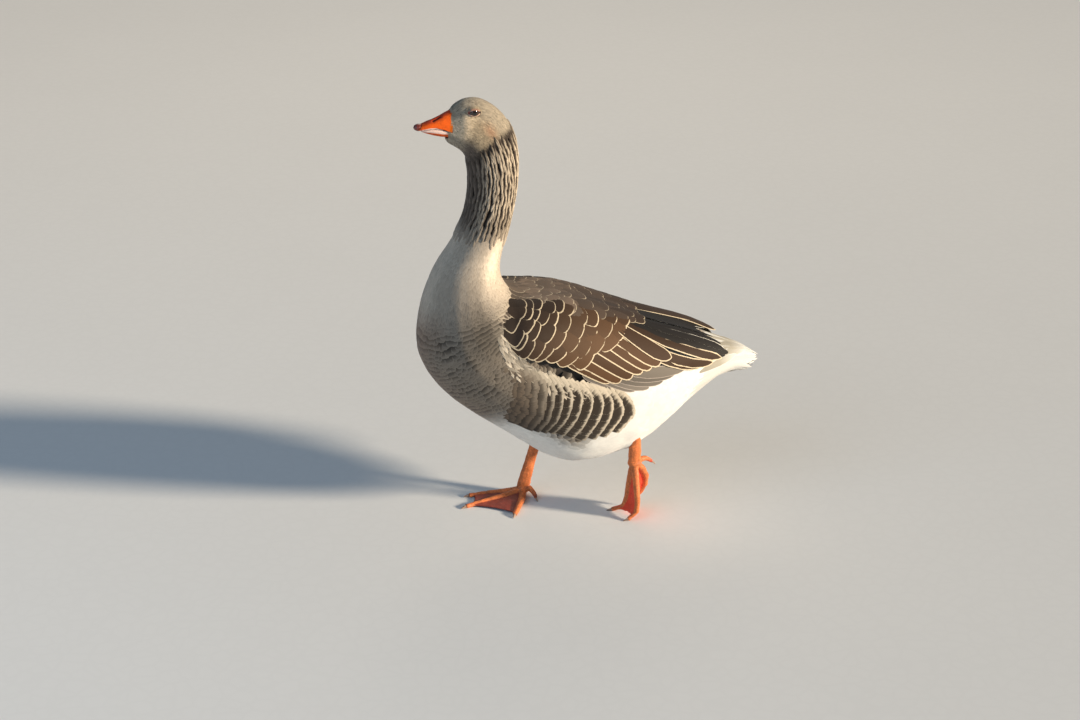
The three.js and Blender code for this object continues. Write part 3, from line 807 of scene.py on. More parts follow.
def body_colours(t, u, points):
    """Colours of the plumage and of the feathers' tips."""
    v = turn_from_back(u)
    cloud = grain(points, 26 * MM, 5)
    # Among the ridges the neck takes the furrows' dark colour, partly painted shade in the grooves.
    furrow = smoothstep(-0.05, 0.3, t - ridge_start(v)) * (1 - 0.6 * smoothstep(0.33, 0.42, v))
    dark = mixed(head_colours(t, v, cloud), feather_hue("furrow"), furrow)
    below = smoothstep(0.2, 0.4, v)
    breast = smoothstep(6.3 - 0.8 * below, 7.0 - 0.5 * below, t)
    # Painted shade on the front of the lower neck and the breast, away from the light, with a band of it at
    # the collar.
    front = smoothstep(0.19, 0.23, v + 0.012 * cloud) * (1 - smoothstep(0.38, 0.48, v))
    collar_shade = 0.16 * np.exp(-(((t - 6.6) / 0.6) ** 2))
    shade = (1 - (0.14 + 0.18 * smoothstep(7.4, 8.4, t) + collar_shade) * front)[..., None]
    # Painted sunlight: brightens the base of the neck.
    sunlit_patch = 1 + 0.6 * spot(t, v, *SUNLIT_PATCH_SPOT)[..., None]
    # Painted shade: the underside of the breast is dimmed.
    low = mixed((1.0, 1.0, 1.0), UNDERSIDE_SHADE_TONE, smoothstep(0.31, 0.39, v) * smoothstep(8.6, 9.6, t))
    side = side_share(t, u)
    # Painted shade: darkens the hollow between the neck's base and the wing.
    hollow_shade = 1 - 0.45 * spot(t, v, *HOLLOW_SHADE_SPOT)[..., None]
    glow = 0.55 * spot(t, v, *GLOW_SPOT)
    mantle = mantle_share(t, u)
    white = white_share(t, u)
    uneven = (1 + 0.13 * grain(points, 3 * MM, 3) + 0.10 * cloud)[..., None]
    colours = []
    for breast_hue, side_hue, glow_hue, mantle_hue, noise in (
        ("breast", "side", feather_hue("side_tip") * 0.8, "mantle", uneven),
        ("breast_tip", "side_tip", feather_hue("flank_tip"), "mantle_tip", 1.0),
    ):
        tone = mixed(dark, feather_hue(breast_hue) * shade, breast) * sunlit_patch * low
        tone = mixed(mixed(tone, feather_hue(side_hue), side) * hollow_shade, glow_hue, glow)
        tone = mixed(tone, feather_hue(mantle_hue), mantle) * noise
        colours.append(np.clip(mixed(tone, feather_hue("white"), white), 0, 1))
    return colours


# ---------------------------------------------------------------- layout


FINE_STEP = 0.01  # stations between the places where the rows' distances are measured
LATTICE_TURNS = 96


def lattice(chart, start, end, spacing, gap, seed, jitter):
    """Places in staggered rows from station start to end, with the distances between rows and columns."""
    rng = np.random.default_rng(seed)
    fine = np.arange(start, end, FINE_STEP)
    turns = np.linspace(0.0, 1.0, LATTICE_TURNS)
    grid_t, grid_u = np.meshgrid(fine, turns, indexing="ij")
    rate_t, rate_u = chart.rates(grid_t, grid_u)
    run = np.concatenate([[0], np.cumsum(rate_t.mean(axis=1) * FINE_STEP)])[:-1]
    ts, us, row_gap, column_gap = [], [], [], []
    place, row = 0.0, 0
    while place < run[-1]:
        t = np.interp(place, run, fine)
        at = int((t - start) / FINE_STEP)
        around = np.concatenate([[0], np.cumsum((rate_u[at, 1:] + rate_u[at, :-1]) / 2 * np.diff(turns))])
        count = max(3, int(round(around[-1] / gap)))
        shares = (np.arange(count) + (0.5 if row % 2 else 0.0)) / count
        shares = shares + rng.normal(0, 0.12 / count, count)
        u = np.interp(np.mod(shares, 1.0) * around[-1], around, turns)
        local = np.interp(u, turns, rate_t[at])
        t_step = spacing / rate_t[at].mean()
        ts.append(np.full(count, t) + rng.normal(0, jitter * t_step, count))
        us.append(u)
        row_gap.append(local * t_step)
        column_gap.append(np.full(count, around[-1] / count))
        place += spacing
        row += 1
    return [np.concatenate(values) for values in (ts, us, row_gap, column_gap)]


# ---------------------------------------------------------------- materials


def node_of(nodes, kind, **settings):
    """A new node of a tree with its settings."""
    node = nodes.new(kind)
    for key, value in settings.items():
        setattr(node, key, value)
    return node


def maths(tree, operation, first, second=None, clamp=False):
    """A Math node's output, from sockets or numbers."""
    node = node_of(tree.nodes, "ShaderNodeMath", operation=operation, use_clamp=clamp)
    for socket, value in zip(node.inputs, (first, second)):
        if isinstance(value, (int, float)):
            socket.default_value = value
        elif value is not None:
            tree.links.new(value, socket)
    return node.outputs[0]


def mix_hues(tree, share, first, second, blend="MIX"):
    """A Mix node's colour, from sockets or colours."""
    node = node_of(tree.nodes, "ShaderNodeMix", data_type="RGBA", blend_type=blend)
    for index, value in ((0, share), (6, first), (7, second)):
        if isinstance(value, (int, float)):
            node.inputs[index].default_value = value
        elif isinstance(value, (tuple, list, np.ndarray)):
            node.inputs[index].default_value = (*value, 1.0)
        else:
            tree.links.new(value, node.inputs[index])
    return node.outputs[2]


def scaled(tree, colour, factor):
    """A colour times a factor, both sockets."""
    scale = node_of(tree.nodes, "ShaderNodeVectorMath", operation="SCALE")
    tree.links.new(colour, scale.inputs[0])
    tree.links.new(factor, scale.inputs["Scale"])
    return scale.outputs[0]


def group_tree(name, inputs, outputs):
    """A new shader node group with its sockets, and the nodes at its two ends."""
    tree = bpy.data.node_groups.new(name, "ShaderNodeTree")
    for label, kind, value in inputs:
        socket = tree.interface.new_socket(label, in_out="INPUT", socket_type=f"NodeSocket{kind}")
        if value is not None:
            socket.default_value = value
    for label, kind in outputs:
        tree.interface.new_socket(label, in_out="OUTPUT", socket_type=f"NodeSocket{kind}")
    return tree, tree.nodes.new("NodeGroupInput").outputs, tree.nodes.new("NodeGroupOutput").inputs


@functools.cache
def vane_group():
    """A feather's colour with its pale rim and the fine streaks of its barbs, and a height for the bump."""
    tree, enter, leave = group_tree(
        "Vane",
        (
            ("Color", "Color", None), ("Rim", "Color", None),
            ("Edge", "Vector", None), ("Barb", "Vector", None),
            ("Count", "Float", 9.0), ("Contrast", "Float", 0.2), ("Softness", "Float", 0.3),
        ),
        (("Color", "Color"), ("Height", "Float")),
    )
    barb, edge = (tree.nodes.new("ShaderNodeSeparateXYZ") for _ in range(2))
    tree.links.new(enter["Barb"], barb.inputs[0])
    tree.links.new(enter["Edge"], edge.inputs[0])
    fray = node_of(tree.nodes, "ShaderNodeTexNoise", noise_dimensions="2D")
    fray.inputs["Scale"].default_value = 7.0
    tree.links.new(enter["Barb"], fray.inputs["Vector"])
    frayed = maths(tree, "MULTIPLY", maths(tree, "SUBTRACT", fray.outputs[0], 0.5), 0.9)
    nearest = maths(tree, "ADD", maths(tree, "MINIMUM", edge.outputs["X"], edge.outputs["Y"]), frayed)
    inside = maths(tree, "SUBTRACT", nearest, maths(tree, "SUBTRACT", 1.0, enter["Softness"]))
    off_rim = maths(tree, "DIVIDE", inside, maths(tree, "MULTIPLY", enter["Softness"], 2.0))
    on_rim = maths(tree, "SUBTRACT", 1.0, off_rim, clamp=True)
    slant = maths(tree, "MULTIPLY", maths(tree, "ABSOLUTE", barb.outputs["X"]), 0.5)
    along = maths(tree, "SUBTRACT", barb.outputs["Y"], slant)
    along = maths(tree, "ADD", along, maths(tree, "MULTIPLY", fray.outputs[0], 0.4))
    turns = maths(tree, "MULTIPLY", along, maths(tree, "MULTIPLY", enter["Count"], math.tau))
    height = maths(tree, "ADD", maths(tree, "MULTIPLY", maths(tree, "SINE", turns), 0.5), 0.5)
    shade = maths(tree, "SUBTRACT", 1.0, maths(tree, "MULTIPLY", height, enter["Contrast"]))
    tree.links.new(scaled(tree, mix_hues(tree, on_rim, enter["Color"], enter["Rim"]), shade), leave["Color"])
    tree.links.new(height, leave["Height"])
    return tree


@functools.cache
def mottle_group():
    """Uneven colour over bare skin and horn: a colour, and a height of small cells."""
    tree, enter, leave = group_tree(
        "Mottle",
        (
            ("Color", "Color", None), ("Scale", "Float", 200.0), ("Cells", "Float", 500.0),
            ("Contrast", "Float", 0.3),
        ),
        (("Color", "Color"), ("Height", "Float")),
    )
    place = tree.nodes.new("ShaderNodeTexCoord")
    clouds = node_of(tree.nodes, "ShaderNodeTexNoise")
    clouds.inputs["Detail"].default_value = 4.0
    cells = node_of(tree.nodes, "ShaderNodeTexVoronoi", feature="DISTANCE_TO_EDGE")
    for texture, socket in ((clouds, "Scale"), (cells, "Cells")):
        tree.links.new(place.outputs["Object"], texture.inputs["Vector"])
        tree.links.new(enter[socket], texture.inputs["Scale"])
    seams = maths(tree, "MULTIPLY", cells.outputs["Distance"], 6.0, clamp=True)
    uneven = maths(tree, "SUBTRACT", clouds.outputs[0], 0.5)
    uneven = maths(tree, "ADD", uneven, maths(tree, "MULTIPLY", maths(tree, "SUBTRACT", seams, 0.8), 0.5))
    shade = maths(tree, "ADD", 1.0, maths(tree, "MULTIPLY", uneven, enter["Contrast"]))
    tree.links.new(scaled(tree, enter["Color"], shade), leave["Color"])
    tree.links.new(seams, leave["Height"])
    return tree


def new_material(name, **constants):
    """A material with its tree and its shader, from values of the shader's sockets."""
    material = bpy.data.materials.new(name)
    material.use_nodes = True
    shader = material.node_tree.nodes["Principled BSDF"]
    for label, value in constants.items():
        shader.inputs[label.replace("_", " ")].default_value = value
    return material, material.node_tree, shader


def group_node(tree, group, **values):
    """A node of a group, with values for some of its sockets."""
    node = node_of(tree.nodes, "ShaderNodeGroup", node_tree=group)
    for label, value in values.items():
        node.inputs[label].default_value = value
    return node


RELIEF = 0.3 * MM  # height of barbs and cells in the materials' bump


def finish_shader(tree, shader, group, strength):
    """Colour and bump of a shader, from a node with both."""
    bump = tree.nodes.new("ShaderNodeBump")
    bump.inputs["Strength"].default_value = strength
    bump.inputs["Distance"].default_value = RELIEF
    tree.links.new(group.outputs["Color"], shader.inputs["Base Color"])
    tree.links.new(group.outputs["Height"], bump.inputs["Height"])
    tree.links.new(bump.outputs["Normal"], shader.inputs["Normal"])


def plumage_material(name, count, contrast, softness, relief, roughness, sheen):
    """Feathers: colours and rims of the vanes, with barbs across them."""
    material, tree, shader = new_material(
        name, Roughness=roughness, Specular_IOR_Level=0.25, Sheen_Weight=sheen, Sheen_Roughness=0.5
    )
    vane = group_node(tree, vane_group(), Count=count, Contrast=contrast, Softness=softness)
    for label, attribute in (("Color", "tint"), ("Rim", "rim")):
        painted_on = node_of(tree.nodes, "ShaderNodeAttribute", attribute_name=attribute)
        tree.links.new(painted_on.outputs["Color"], vane.inputs[label])
    for label, own_map in (("Edge", "edge"), ("Barb", "vane")):
        place = node_of(tree.nodes, "ShaderNodeUVMap", uv_map=own_map)
        tree.links.new(place.outputs["UV"], vane.inputs[label])
    finish_shader(tree, shader, vane, relief)
    return material


def bare_material(name, scale, cells, contrast, relief, **constants):
    """Bare skin and horn: painted corners, uneven in small patches, with fine cells."""
    material, tree, shader = new_material(name, **constants)
    mottle = group_node(tree, mottle_group(), Scale=scale, Cells=cells, Contrast=contrast)
    painted_on = node_of(tree.nodes, "ShaderNodeAttribute", attribute_name="tint")
    tree.links.new(painted_on.outputs["Color"], mottle.inputs["Color"])
    finish_shader(tree, shader, mottle, relief)
    return material


@functools.cache
def soft_plumage():
    """The material of the small feathers, the flanks and the fringes."""
    return plumage_material("soft plumage", 9.0, 0.14, 0.6, 0.12, 0.9, 0.1)


@functools.cache
def firm_plumage():
    """The firmer material of the wings, the shoulders, the mantle and the tail."""
    return plumage_material("firm plumage", 11.0, 0.16, 0.22, 0.2, 0.68, 0.02)


# ---------------------------------------------------------------- small feathers of the body


# How small feathers are laid out, shaped and painted, unless a piece says otherwise.
SMALL_FEATHERS = {
    "jitter": 0.12, "wave": 0.0, "uneven": 1.0, "swerve": 0.12, "width": 1.7, "outline": "body", "rise": 0.0,
    "camber": 0.4, "thick": 0.25, "curve": 0.8, "roof": 2.0, "soft": 0.8, "tip_zone": 0.55, "mottle": 0.07,
    "rim": 0.35, "fade": 0.15, "blend": 1.0,
}
WAVE_SIZE = 22 * MM


def body_feathers(start, end, spacing, gap, seed, **how):
    """Small feathers in staggered rows between two stations of the body.

    Overlap, width and rim are shares of the gaps between rows and columns, camber and thick millimetres."""
    chart = body_chart()
    how = {**SMALL_FEATHERS, **how}
    places = lattice(chart, start, end, spacing, gap, seed, how["jitter"])
    if "keep" in how:
        kept = how["keep"](*places[:2])
        places = [values[kept] for values in places]
    t, u, row_gap, column_gap = places
    wave = how["wave"] * grain(chart.at(t, u)[0], WAVE_SIZE, seed)
    t = t + wave * row_gap / chart.rates(t, u)[0]
    rng = np.random.default_rng(seed + 100)
    count = len(t)
    distance = row_gap * how["overlap"] * (1 + how["uneven"] * (rng.uniform(0.85, 1.2, count) - 1))
    dt, du = chart.heading(t, u, distance, rng.normal(0, how["swerve"], count))
    half = column_gap * how["width"] / 2 * rng.uniform(0.85, 1.15, count)
    tip_t = t + dt * 0.8
    base, rim = body_colours(tip_t, u, chart.at(tip_t, u)[0])
    shade = rng.normal(1, how["mottle"], (count, 1))
    rise = how["rise"] + rng.normal(0, 0.1, count) * how["depth"] * how["uneven"]
    vanes = Vanes(
        chart, how["outline"], t, u, dt, du, half, sink=how["depth"], rise=rise, camber=how["camber"] * MM,
        thick=how["thick"] * MM, bend=rng.normal(0, 0.05, count) * distance, curve=how["curve"],
        roof=how["roof"], soft=how["soft"], tip_zone=how["tip_zone"],
    )
    return vanes.paint(
        base * shade, rim * shade, how["rim"] * row_gap, fade=how["fade"], blend=how["blend"]
    )


EYE_MARGIN = (9.1 * MM, 4.9 * MM)  # half sizes of the bare place around each eye


def off_the_eyes(vanes):
    """Whether each feather stays clear of the eyes and their lids."""
    clear = np.ones(len(vanes.length), bool)
    for side, _ in SIDES:
        low, high = (np.array(corner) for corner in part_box(f"eye_{side}"))
        away = vanes.points - (low + high) / 2
        near = np.abs(away[..., 1]) < 20 * MM
        inside = (away[..., 0] / EYE_MARGIN[0]) ** 2 + (away[..., 2] / EYE_MARGIN[1]) ** 2 < 1
        clear &= ~(near & inside).any(axis=(1, 2))
    return clear


def thinned(vanes, keep):
    """The same feathers without some of them."""
    for label, values in vars(vanes).items():
        kept = tuple(part[keep] for part in values) if label == "root" else values[keep]
        setattr(vanes, label, kept)
    return vanes


RIDGES = 34  # furrows around the neck
RIDGE_STEP = 2.4 * MM  # distance between the feathers of one ridge
RIDGE_LENGTH = 16.0 * MM
RIDGE_DEPTH = 1.7 * MM
RIDGE_HALF = 2.7 * MM


def ridge_start(v):
    """Station where the ridges begin, at v turns from the back."""
    return 3.5 - 2.3 * v


def ridge_end(v):
    """Station where the ridges end."""
    return 6.7 - 0.15 * smoothstep(0.25, 0.45, v)


def neck_ridges(seed):
    """The furrowed neck: chains of narrow, roof-shaped feathers that run down it in wavy ridges."""
    rng = np.random.default_rng(seed)
    chart = body_chart()
    ts, us, strengths, endings = [], [], [], []
    fine = np.arange(2.0, 7.8, 0.01)
    for k in range(RIDGES):
        u0 = (k + 0.5 + rng.uniform(-0.12, 0.12)) / RIDGES
        v0 = float(turn_from_back(u0))
        phase = rng.uniform(0, math.tau, 3)
        wave = 0.15 * np.sin(2.1 * fine + phase[0] * 0.3) + 0.13 * np.sin(5.2 * fine + phase[1])
        wave = (wave + 0.10 * np.sin(12.0 * fine + phase[2])) / RIDGES
        rate_t, _ = chart.rates(fine, np.full(len(fine), u0))
        run = np.cumsum(rate_t * 0.01)
        start = ridge_start(v0) + rng.uniform(-0.25, 0.25)
        end = ridge_end(v0) + rng.uniform(-0.32, 0.25)
        places = np.arange(np.interp(start, fine, run), np.interp(end, fine, run), RIDGE_STEP)
        t = np.interp(places + rng.normal(0, 0.5 * MM, len(places)), run, fine)
        ts.append(t)
        us.append(u0 + np.interp(t, fine, wave))
        strengths.append(smoothstep(start - 0.3, start + 0.35, t))
        endings.append(smoothstep(end - 1.1, end, t))
    t, u, strength, ending = (np.concatenate(values) for values in (ts, us, strengths, endings))
    v = turn_from_back(u)
    front = smoothstep(0.28, 0.44, v)
    count = len(t)
    distance = RIDGE_LENGTH * rng.uniform(0.9, 1.15, count)
    dt, du = chart.heading(t, u, distance, rng.normal(0, 0.05, count))
    half = RIDGE_HALF * rng.uniform(0.85, 1.1, count) * (0.8 + 0.2 * strength)
    rise = (0.2 + rng.normal(0, 0.05, count)) * MM * (1 - 0.5 * front)
    vanes = Vanes(
        chart, "pointed", t, u, dt, du, half, sink=RIDGE_DEPTH, rise=rise, camber=2.7 * MM, thick=0.3 * MM,
        bend=rng.normal(0, 0.03, count) * distance, curve=0.7, roof=1.1, soft=0.3,
    )
    base, _ = body_colours(t + dt * 0.5, u, vanes.points[:, 2, 2])
    # The front of the neck is darker and its crests duller: painted shade on the side away from the light.
    dark = mixed(feather_hue("furrow") * 1.4, feather_hue("throat") * 0.8, front * 0.7)
    pale = mixed(feather_hue("ridge"), feather_hue("throat") * 1.5, front)
    pale = pale * rng.uniform(0.45, 1.1, (count, 1))
    pale = mixed(base, pale, strength * (1 - 0.6 * ending))
    dark = mixed(base, dark, strength * (1 - 0.75 * ending))
    # Pale crest and dark sides of each ridge: partly the feathers' own colours, partly painted highlight on
    # the crest and painted shade on the sides.
    crest = (1 - np.abs(vanes.b)) ** 4.0 * smoothstep(0.15, 0.6, vanes.a)
    vanes.paint(dark, dark, 0.0)
    vanes.tint = mixed(dark[:, None, None], pale[:, None, None], crest)
    return vanes


def uncovered(t, u):
    """Whether a place on the body isn't deep under a wing."""
    bare = body_chart().at(t, u)[0]
    over = winged_chart().at(t, u)[0]
    return np.linalg.norm(over - bare, axis=-1) < 3.5 * MM


def off_the_ridges(t, u):
    """Whether a place isn't among the ridges of the neck."""
    v = turn_from_back(u)
    return (t < ridge_start(v) + 0.25) | (t > ridge_end(v) - 0.15)


# ---------------------------------------------------------------- large feathers


def strip(chart, t, u, tip_t, tip_u, half, outline, **how):
    """Larger feathers from given roots to given tips."""
    t, u, tip_t, tip_u = (np.asarray(values, float) for values in (t, u, tip_t, tip_u))
    how.setdefault("sink", 1.0 * MM)
    how.setdefault("camber", 0.8 * MM)
    how.setdefault("thick", 0.5 * MM)
    how.setdefault("curve", 0.7)
    return Vanes(chart, outline, t, u, tip_t - t, tip_u - u, np.broadcast_to(half, t.shape), **how)


def spaced(line, gap, chart, side, shift):
    """Places along a line of (t, u) points, a gap apart, and the way across it at each."""
    line = np.asarray(line, float)
    t = np.interp(np.linspace(0, 1, 200), np.linspace(0, 1, len(line)), line[:, 0])
    u = -side * np.interp(np.linspace(0, 1, 200), np.linspace(0, 1, len(line)), line[:, 1])
    points, normals = chart.at(t, u)
    run = np.concatenate([[0], np.cumsum(np.linalg.norm(np.diff(points, axis=0), axis=1))])
    count = max(2, int(round(run[-1] / gap)))
    places = (np.arange(count) + shift) / count * run[-1]
    t, u = np.interp(places, run, t), np.interp(places, run, u)
    ways = np.stack([np.interp(places, run, np.gradient(points[:, k], run)) for k in range(3)], -1)
    ahead = unit(np.cross(ways, np.stack([np.interp(places, run, normals[:, k]) for k in range(3)], -1)))
    along, _ = chart.slopes(t, u)
    return t, u, ahead * np.sign(dot(ahead, along))[:, None]


# Pale arcs of the wing coverts from front to rear, as stations and turns.
COVERT_ARCS = (
    ((9.62, 0.085), (9.85, 0.125), (10.0, 0.170), (10.15, 0.195)),
    ((9.9, 0.080), (10.05, 0.120), (10.2, 0.165), (10.45, 0.212)),
    ((10.2, 0.078), (10.25, 0.121), (10.35, 0.170), (10.62, 0.222)),
    ((10.55, 0.075), (10.6, 0.108), (10.6, 0.160), (10.85, 0.226)),
    ((10.85, 0.071), (10.85, 0.108), (10.92, 0.146), (10.98, 0.192), (11.05, 0.226)),
    ((11.2, 0.071), (11.15, 0.104), (11.2, 0.146), (11.2, 0.179), (11.15, 0.222)),
    ((11.4, 0.080), (11.45, 0.104), (11.5, 0.146), (11.47, 0.175), (11.35, 0.218)),
    ((11.65, 0.070), (11.7, 0.100), (11.72, 0.138), (11.72, 0.168), (11.6, 0.210)),
    ((12.1, 0.062), (12.02, 0.100), (11.93, 0.138), (11.87, 0.170), (11.85, 0.202)),
    ((12.45, 0.050), (12.33, 0.086), (12.25, 0.121), (12.1, 0.148)),
)
COVERT_LENGTH = (30 * MM, 60 * MM)
COVERT_GAP = (21 * MM, 32 * MM)
COVERT_LAYERS = (1.0, 0.14)  # millimetres: how high the rearmost row lies, and how much more each before it
COVERT_TONES = ((0.8, 0.8, 0.8), (0.96, 0.86, 0.80))  # of the foremost and the rearmost row

# Flight feathers, lowest first: root and end of the lower edge, half width and bow in millimetres.
UNDER_PRIMARIES = (
    (11.9, 0.215, 12.75, 0.204, 8, 0),
    (12.0, 0.208, 13.05, 0.196, 8, 0),
    (12.1, 0.200, 13.30, 0.188, 9, 0),
    (12.2, 0.192, 13.52, 0.176, 9, 0),
    (12.3, 0.182, 13.72, 0.162, 9, 0),
    (12.5, 0.170, 13.95, 0.150, 9, 0),
)
SECONDARIES = (
    (11.3, 0.208, 12.45, 0.200, 10, 0),
    (11.35, 0.197, 12.62, 0.190, 11, 0),
    (11.4, 0.178, 12.78, 0.174, 12, 0),
    (11.45, 0.158, 12.93, 0.158, 12, 0),
    (11.5, 0.138, 13.08, 0.146, 13, 0),
    (11.6, 0.120, 13.24, 0.136, 14, 0),
)
TERTIALS = (
    (12.1, 0.106, 14.42, 0.156, 8, 0),
    (12.1, 0.098, 14.78, 0.160, 8, 0),
    (12.0, 0.078, 15.10, 0.158, 7.5, -9),
    (11.9, 0.094, 13.45, 0.128, 13, 2),
)
PRIMARIES = (
    (12.2, 0.010, 14.40, 0.020, 9, -2),
    (12.2, 0.026, 14.70, 0.050, 9, -6),
    (12.3, 0.046, 14.95, 0.085, 7, -8),
    (12.3, 0.078, 15.28, 0.150, 7, -5),
    (12.3, 0.068, 15.42, 0.142, 7, -6),
    (12.3, 0.058, 15.15, 0.118, 7, -10),
)
PRIMARY_EDGES = (0.5, 0.6, 0.0, 0.0, 0.0, 1.4)  # widths of their pale upper edges, in millimetres
RAISED_TERTIALS = (
    (11.9, 0.030, 13.9, 0.052, 11, -1),
    (11.9, 0.036, 14.5, 0.058, 11, -1),
    (12.0, 0.044, 15.02, 0.064, 10, -2),
)
TIP_SHIFT = 0.6  # share of the half width that the tip's end lies above the lower edge


def covert_rows(side, seed):
    """The wing coverts: rows of broad feathers whose pale tips line up in arcs."""
    rng = np.random.default_rng(seed)
    chart = winged_chart()
    groups = []
    last = len(COVERT_ARCS) - 1
    for k, line in enumerate(COVERT_ARCS):
        share = k / last
        gap = COVERT_GAP[0] + (COVERT_GAP[1] - COVERT_GAP[0]) * share
        t, u, ahead = spaced(line, gap, chart, side, 0.5 if k % 2 else 0.35)
        count = len(t)
        back, around = chart.steps(t, u, ahead * rng.normal(0, 1.4 * MM, (count, 1)))
        t, u = t + back, u + around
        distance = COVERT_LENGTH[0] + (COVERT_LENGTH[1] - COVERT_LENGTH[0]) * share
        dt, du = chart.steps(t, u, ahead * distance)
        half = gap * rng.uniform(0.6, 0.7, count)
        layer = (COVERT_LAYERS[0] + COVERT_LAYERS[1] * (last - k)) * MM + rng.normal(0, 0.2, count) * MM
        vanes = strip(
            chart, t - dt, u - du, t, u, half, "blunt", rise=layer, sink=0.6 * MM, camber=0.9 * MM, curve=0.9,
            bend=rng.normal(0, 0.6, count) * MM,
        )
        base = mixed(feather_hue("wing_dark"), feather_hue("wing"), smoothstep(0.15, 0.95, share))
        base = base * rng.normal(1, 0.13, (count, 1))
        base = base * (0.72 + 0.28 * smoothstep(0.07, 0.12, turn_from_back(u)))[:, None]
        base = base * mixed(*COVERT_TONES, share)
        rim = feather_hue("wing_tip") * rng.uniform(0.75, 1.05, (count, 1)) * (0.8 + 0.2 * share)
        groups.append(vanes.paint(base, rim, rng.uniform(1.0, 1.7, count) * MM, fade=0.3))
    return groups


def flight_group(table, side, layers, base, rim, widths, seed, upper=0.0, tilt=0.9, outline="flight"):
    """Long feathers from a table, each in its own layer. The pale edge is the lower one."""
    rng = np.random.default_rng(seed)
    chart = winged_chart()
    t, u, tip_t, tip_u, half, bow = np.array(table, float).T
    half, bow = half * MM, bow * MM
    count = len(t)
    _, rate = chart.rates(t, -side * u)
    _, tip_rate = chart.rates(tip_t, -side * tip_u)
    u = -side * (u - half / rate)
    tip_u = -side * (tip_u - TIP_SHIFT * half / tip_rate)
    vanes = strip(
        chart, t, u, tip_t, tip_u, half, outline, rise=np.linspace(*layers, count) * MM, sink=0.4 * MM,
        camber=0.45 * MM, bend=-side * bow, tilt=-side * tilt * MM,
    )
    base = np.asarray(base) * rng.normal(1, 0.1, (count, 1))
    edges = [np.broadcast_to(width, (count,)) * MM for width in (widths[1], upper)]
    return vanes.paint(base, rim, widths[0] * MM, np.stack(edges[::side], -1), 0.25)


def wing_groups(side, seed):
    """All the feathers of one folded wing, from the hidden ones outwards."""
    brown, dark, pale = feather_hue("wing"), feather_hue("wing_dark"), feather_hue("wing_tip")
    black, white = feather_hue("primary"), feather_hue("primary_tip")
    edged = {"upper": PRIMARY_EDGES, "tilt": 0.3}
    kinds = [
        (UNDER_PRIMARIES, (-0.8, 0.0), dark * (5.4, 7.6, 9.4), dark * (13, 18, 23), (0.9, 0.7), {}),
        (PRIMARIES, (0.4, 1.8), black, white, (0.0, 0.0), edged),
        (SECONDARIES, (0.4, 1.9), brown * (0.85, 0.72, 0.62), pale, (1.6, 1.4), {"outline": "blunt"}),
        (TERTIALS, (2.0, 3.4), brown * (0.48, 0.41, 0.38), pale, (1.4, 1.3), {}),
    ]
    if side > 0:
        kinds.append((RAISED_TERTIALS, (2.6, 3.8), dark * 1.3, pale, (1.3, 0.9), {"upper": 1.0}))
    groups = [
        flight_group(table, side, layers, base, rim, widths, seed + k, **how)
        for k, (table, layers, base, rim, widths, how) in enumerate(kinds)
    ]
    return groups + covert_rows(side, seed + 5)


def mantle_groups(seed):
    """Shoulder feathers over the back, between the wings and over their upper edges."""
    rng = np.random.default_rng(seed)
    chart = winged_chart()
    groups = []
    tips = np.arange(9.5, 12.8, 0.25)
    for k, tip in enumerate(tips):
        share = k / (len(tips) - 1)
        count = 8 - 2 * int(share > 0.55) + k % 2
        reach = 0.082 - 0.034 * smoothstep(0.5, 1.0, share)
        u = np.linspace(-reach, reach, count) + rng.normal(0, 0.003, count)
        tip_t = tip + 3.5 * np.abs(u) * (1 - share) + rng.normal(0, 0.05, count)
        distance = (36 + 34 * share) * MM
        dt, du = chart.heading(tip_t, u, np.full(count, distance), 0.25 * np.sign(u) * (1 - share))
        _, rate_u = chart.rates(tip_t, u)
        half = 2 * reach / count * rate_u * (0.8 + 0.25 * share)
        vanes = strip(
            chart, tip_t - dt, u - du, tip_t, u, half, "blunt" if share > 0.4 else "round",
            rise=1.5 * MM + rng.normal(0, 0.25, count) * MM, camber=0.8 * MM, sink=1.2 * MM,
        )
        base = mixed(feather_hue("mantle"), feather_hue("wing_dark") * 1.25, share)
        base = base * (1 + 0.9 * smoothstep(0.05, 0.2, share) * (1 - smoothstep(0.35, 0.7, share)))
        base = base * rng.normal(1, 0.15, (count, 1))
        rim = mixed(feather_hue("mantle_tip"), feather_hue("wing_tip") * 0.75, share)
        rim = rim * rng.uniform(0.5, 1.0, (count, 1))
        groups.append(vanes.paint(base, rim, 0.9 * MM, (0.5 * MM, 0.5 * MM), 0.2))
    return groups


# The flank's bars from front to rear: x of the bar at each of the heights below, along with those heights.
FLANK_LINES = (
    ((-0.135, 0.277), (-0.131, 0.259), (-0.131, 0.224), (-0.139, 0.188)),
    ((-0.102, 0.269), (-0.094, 0.242), (-0.098, 0.196), (-0.107, 0.170)),
    ((-0.063, 0.255), (-0.048, 0.227), (-0.052, 0.194), (-0.067, 0.166)),
    ((-0.020, 0.243), (-0.002, 0.212), (-0.007, 0.182), (-0.022, 0.150)),
    ((0.004, 0.234), (0.024, 0.207), (0.028, 0.183), (0.010, 0.154)),
    ((0.012, 0.234), (0.034, 0.207), (0.041, 0.183), (0.024, 0.158)),
)
FLANK_PLACES = (0.0, 1.0, 2.0, 3.0, 4.0, 4.8)
FLANK_BARS = 14
FLANK_GAP = 4.4 * MM  # between the feathers of one bar
FLANK_LENGTH = (26 * MM, 54 * MM)
FLANK_HOOK = 9 * MM  # how far the bars' upper ends hook forwards
PLAIN_TONE = (0.62, 0.54, 0.48)  # of the foremost feathers' tips


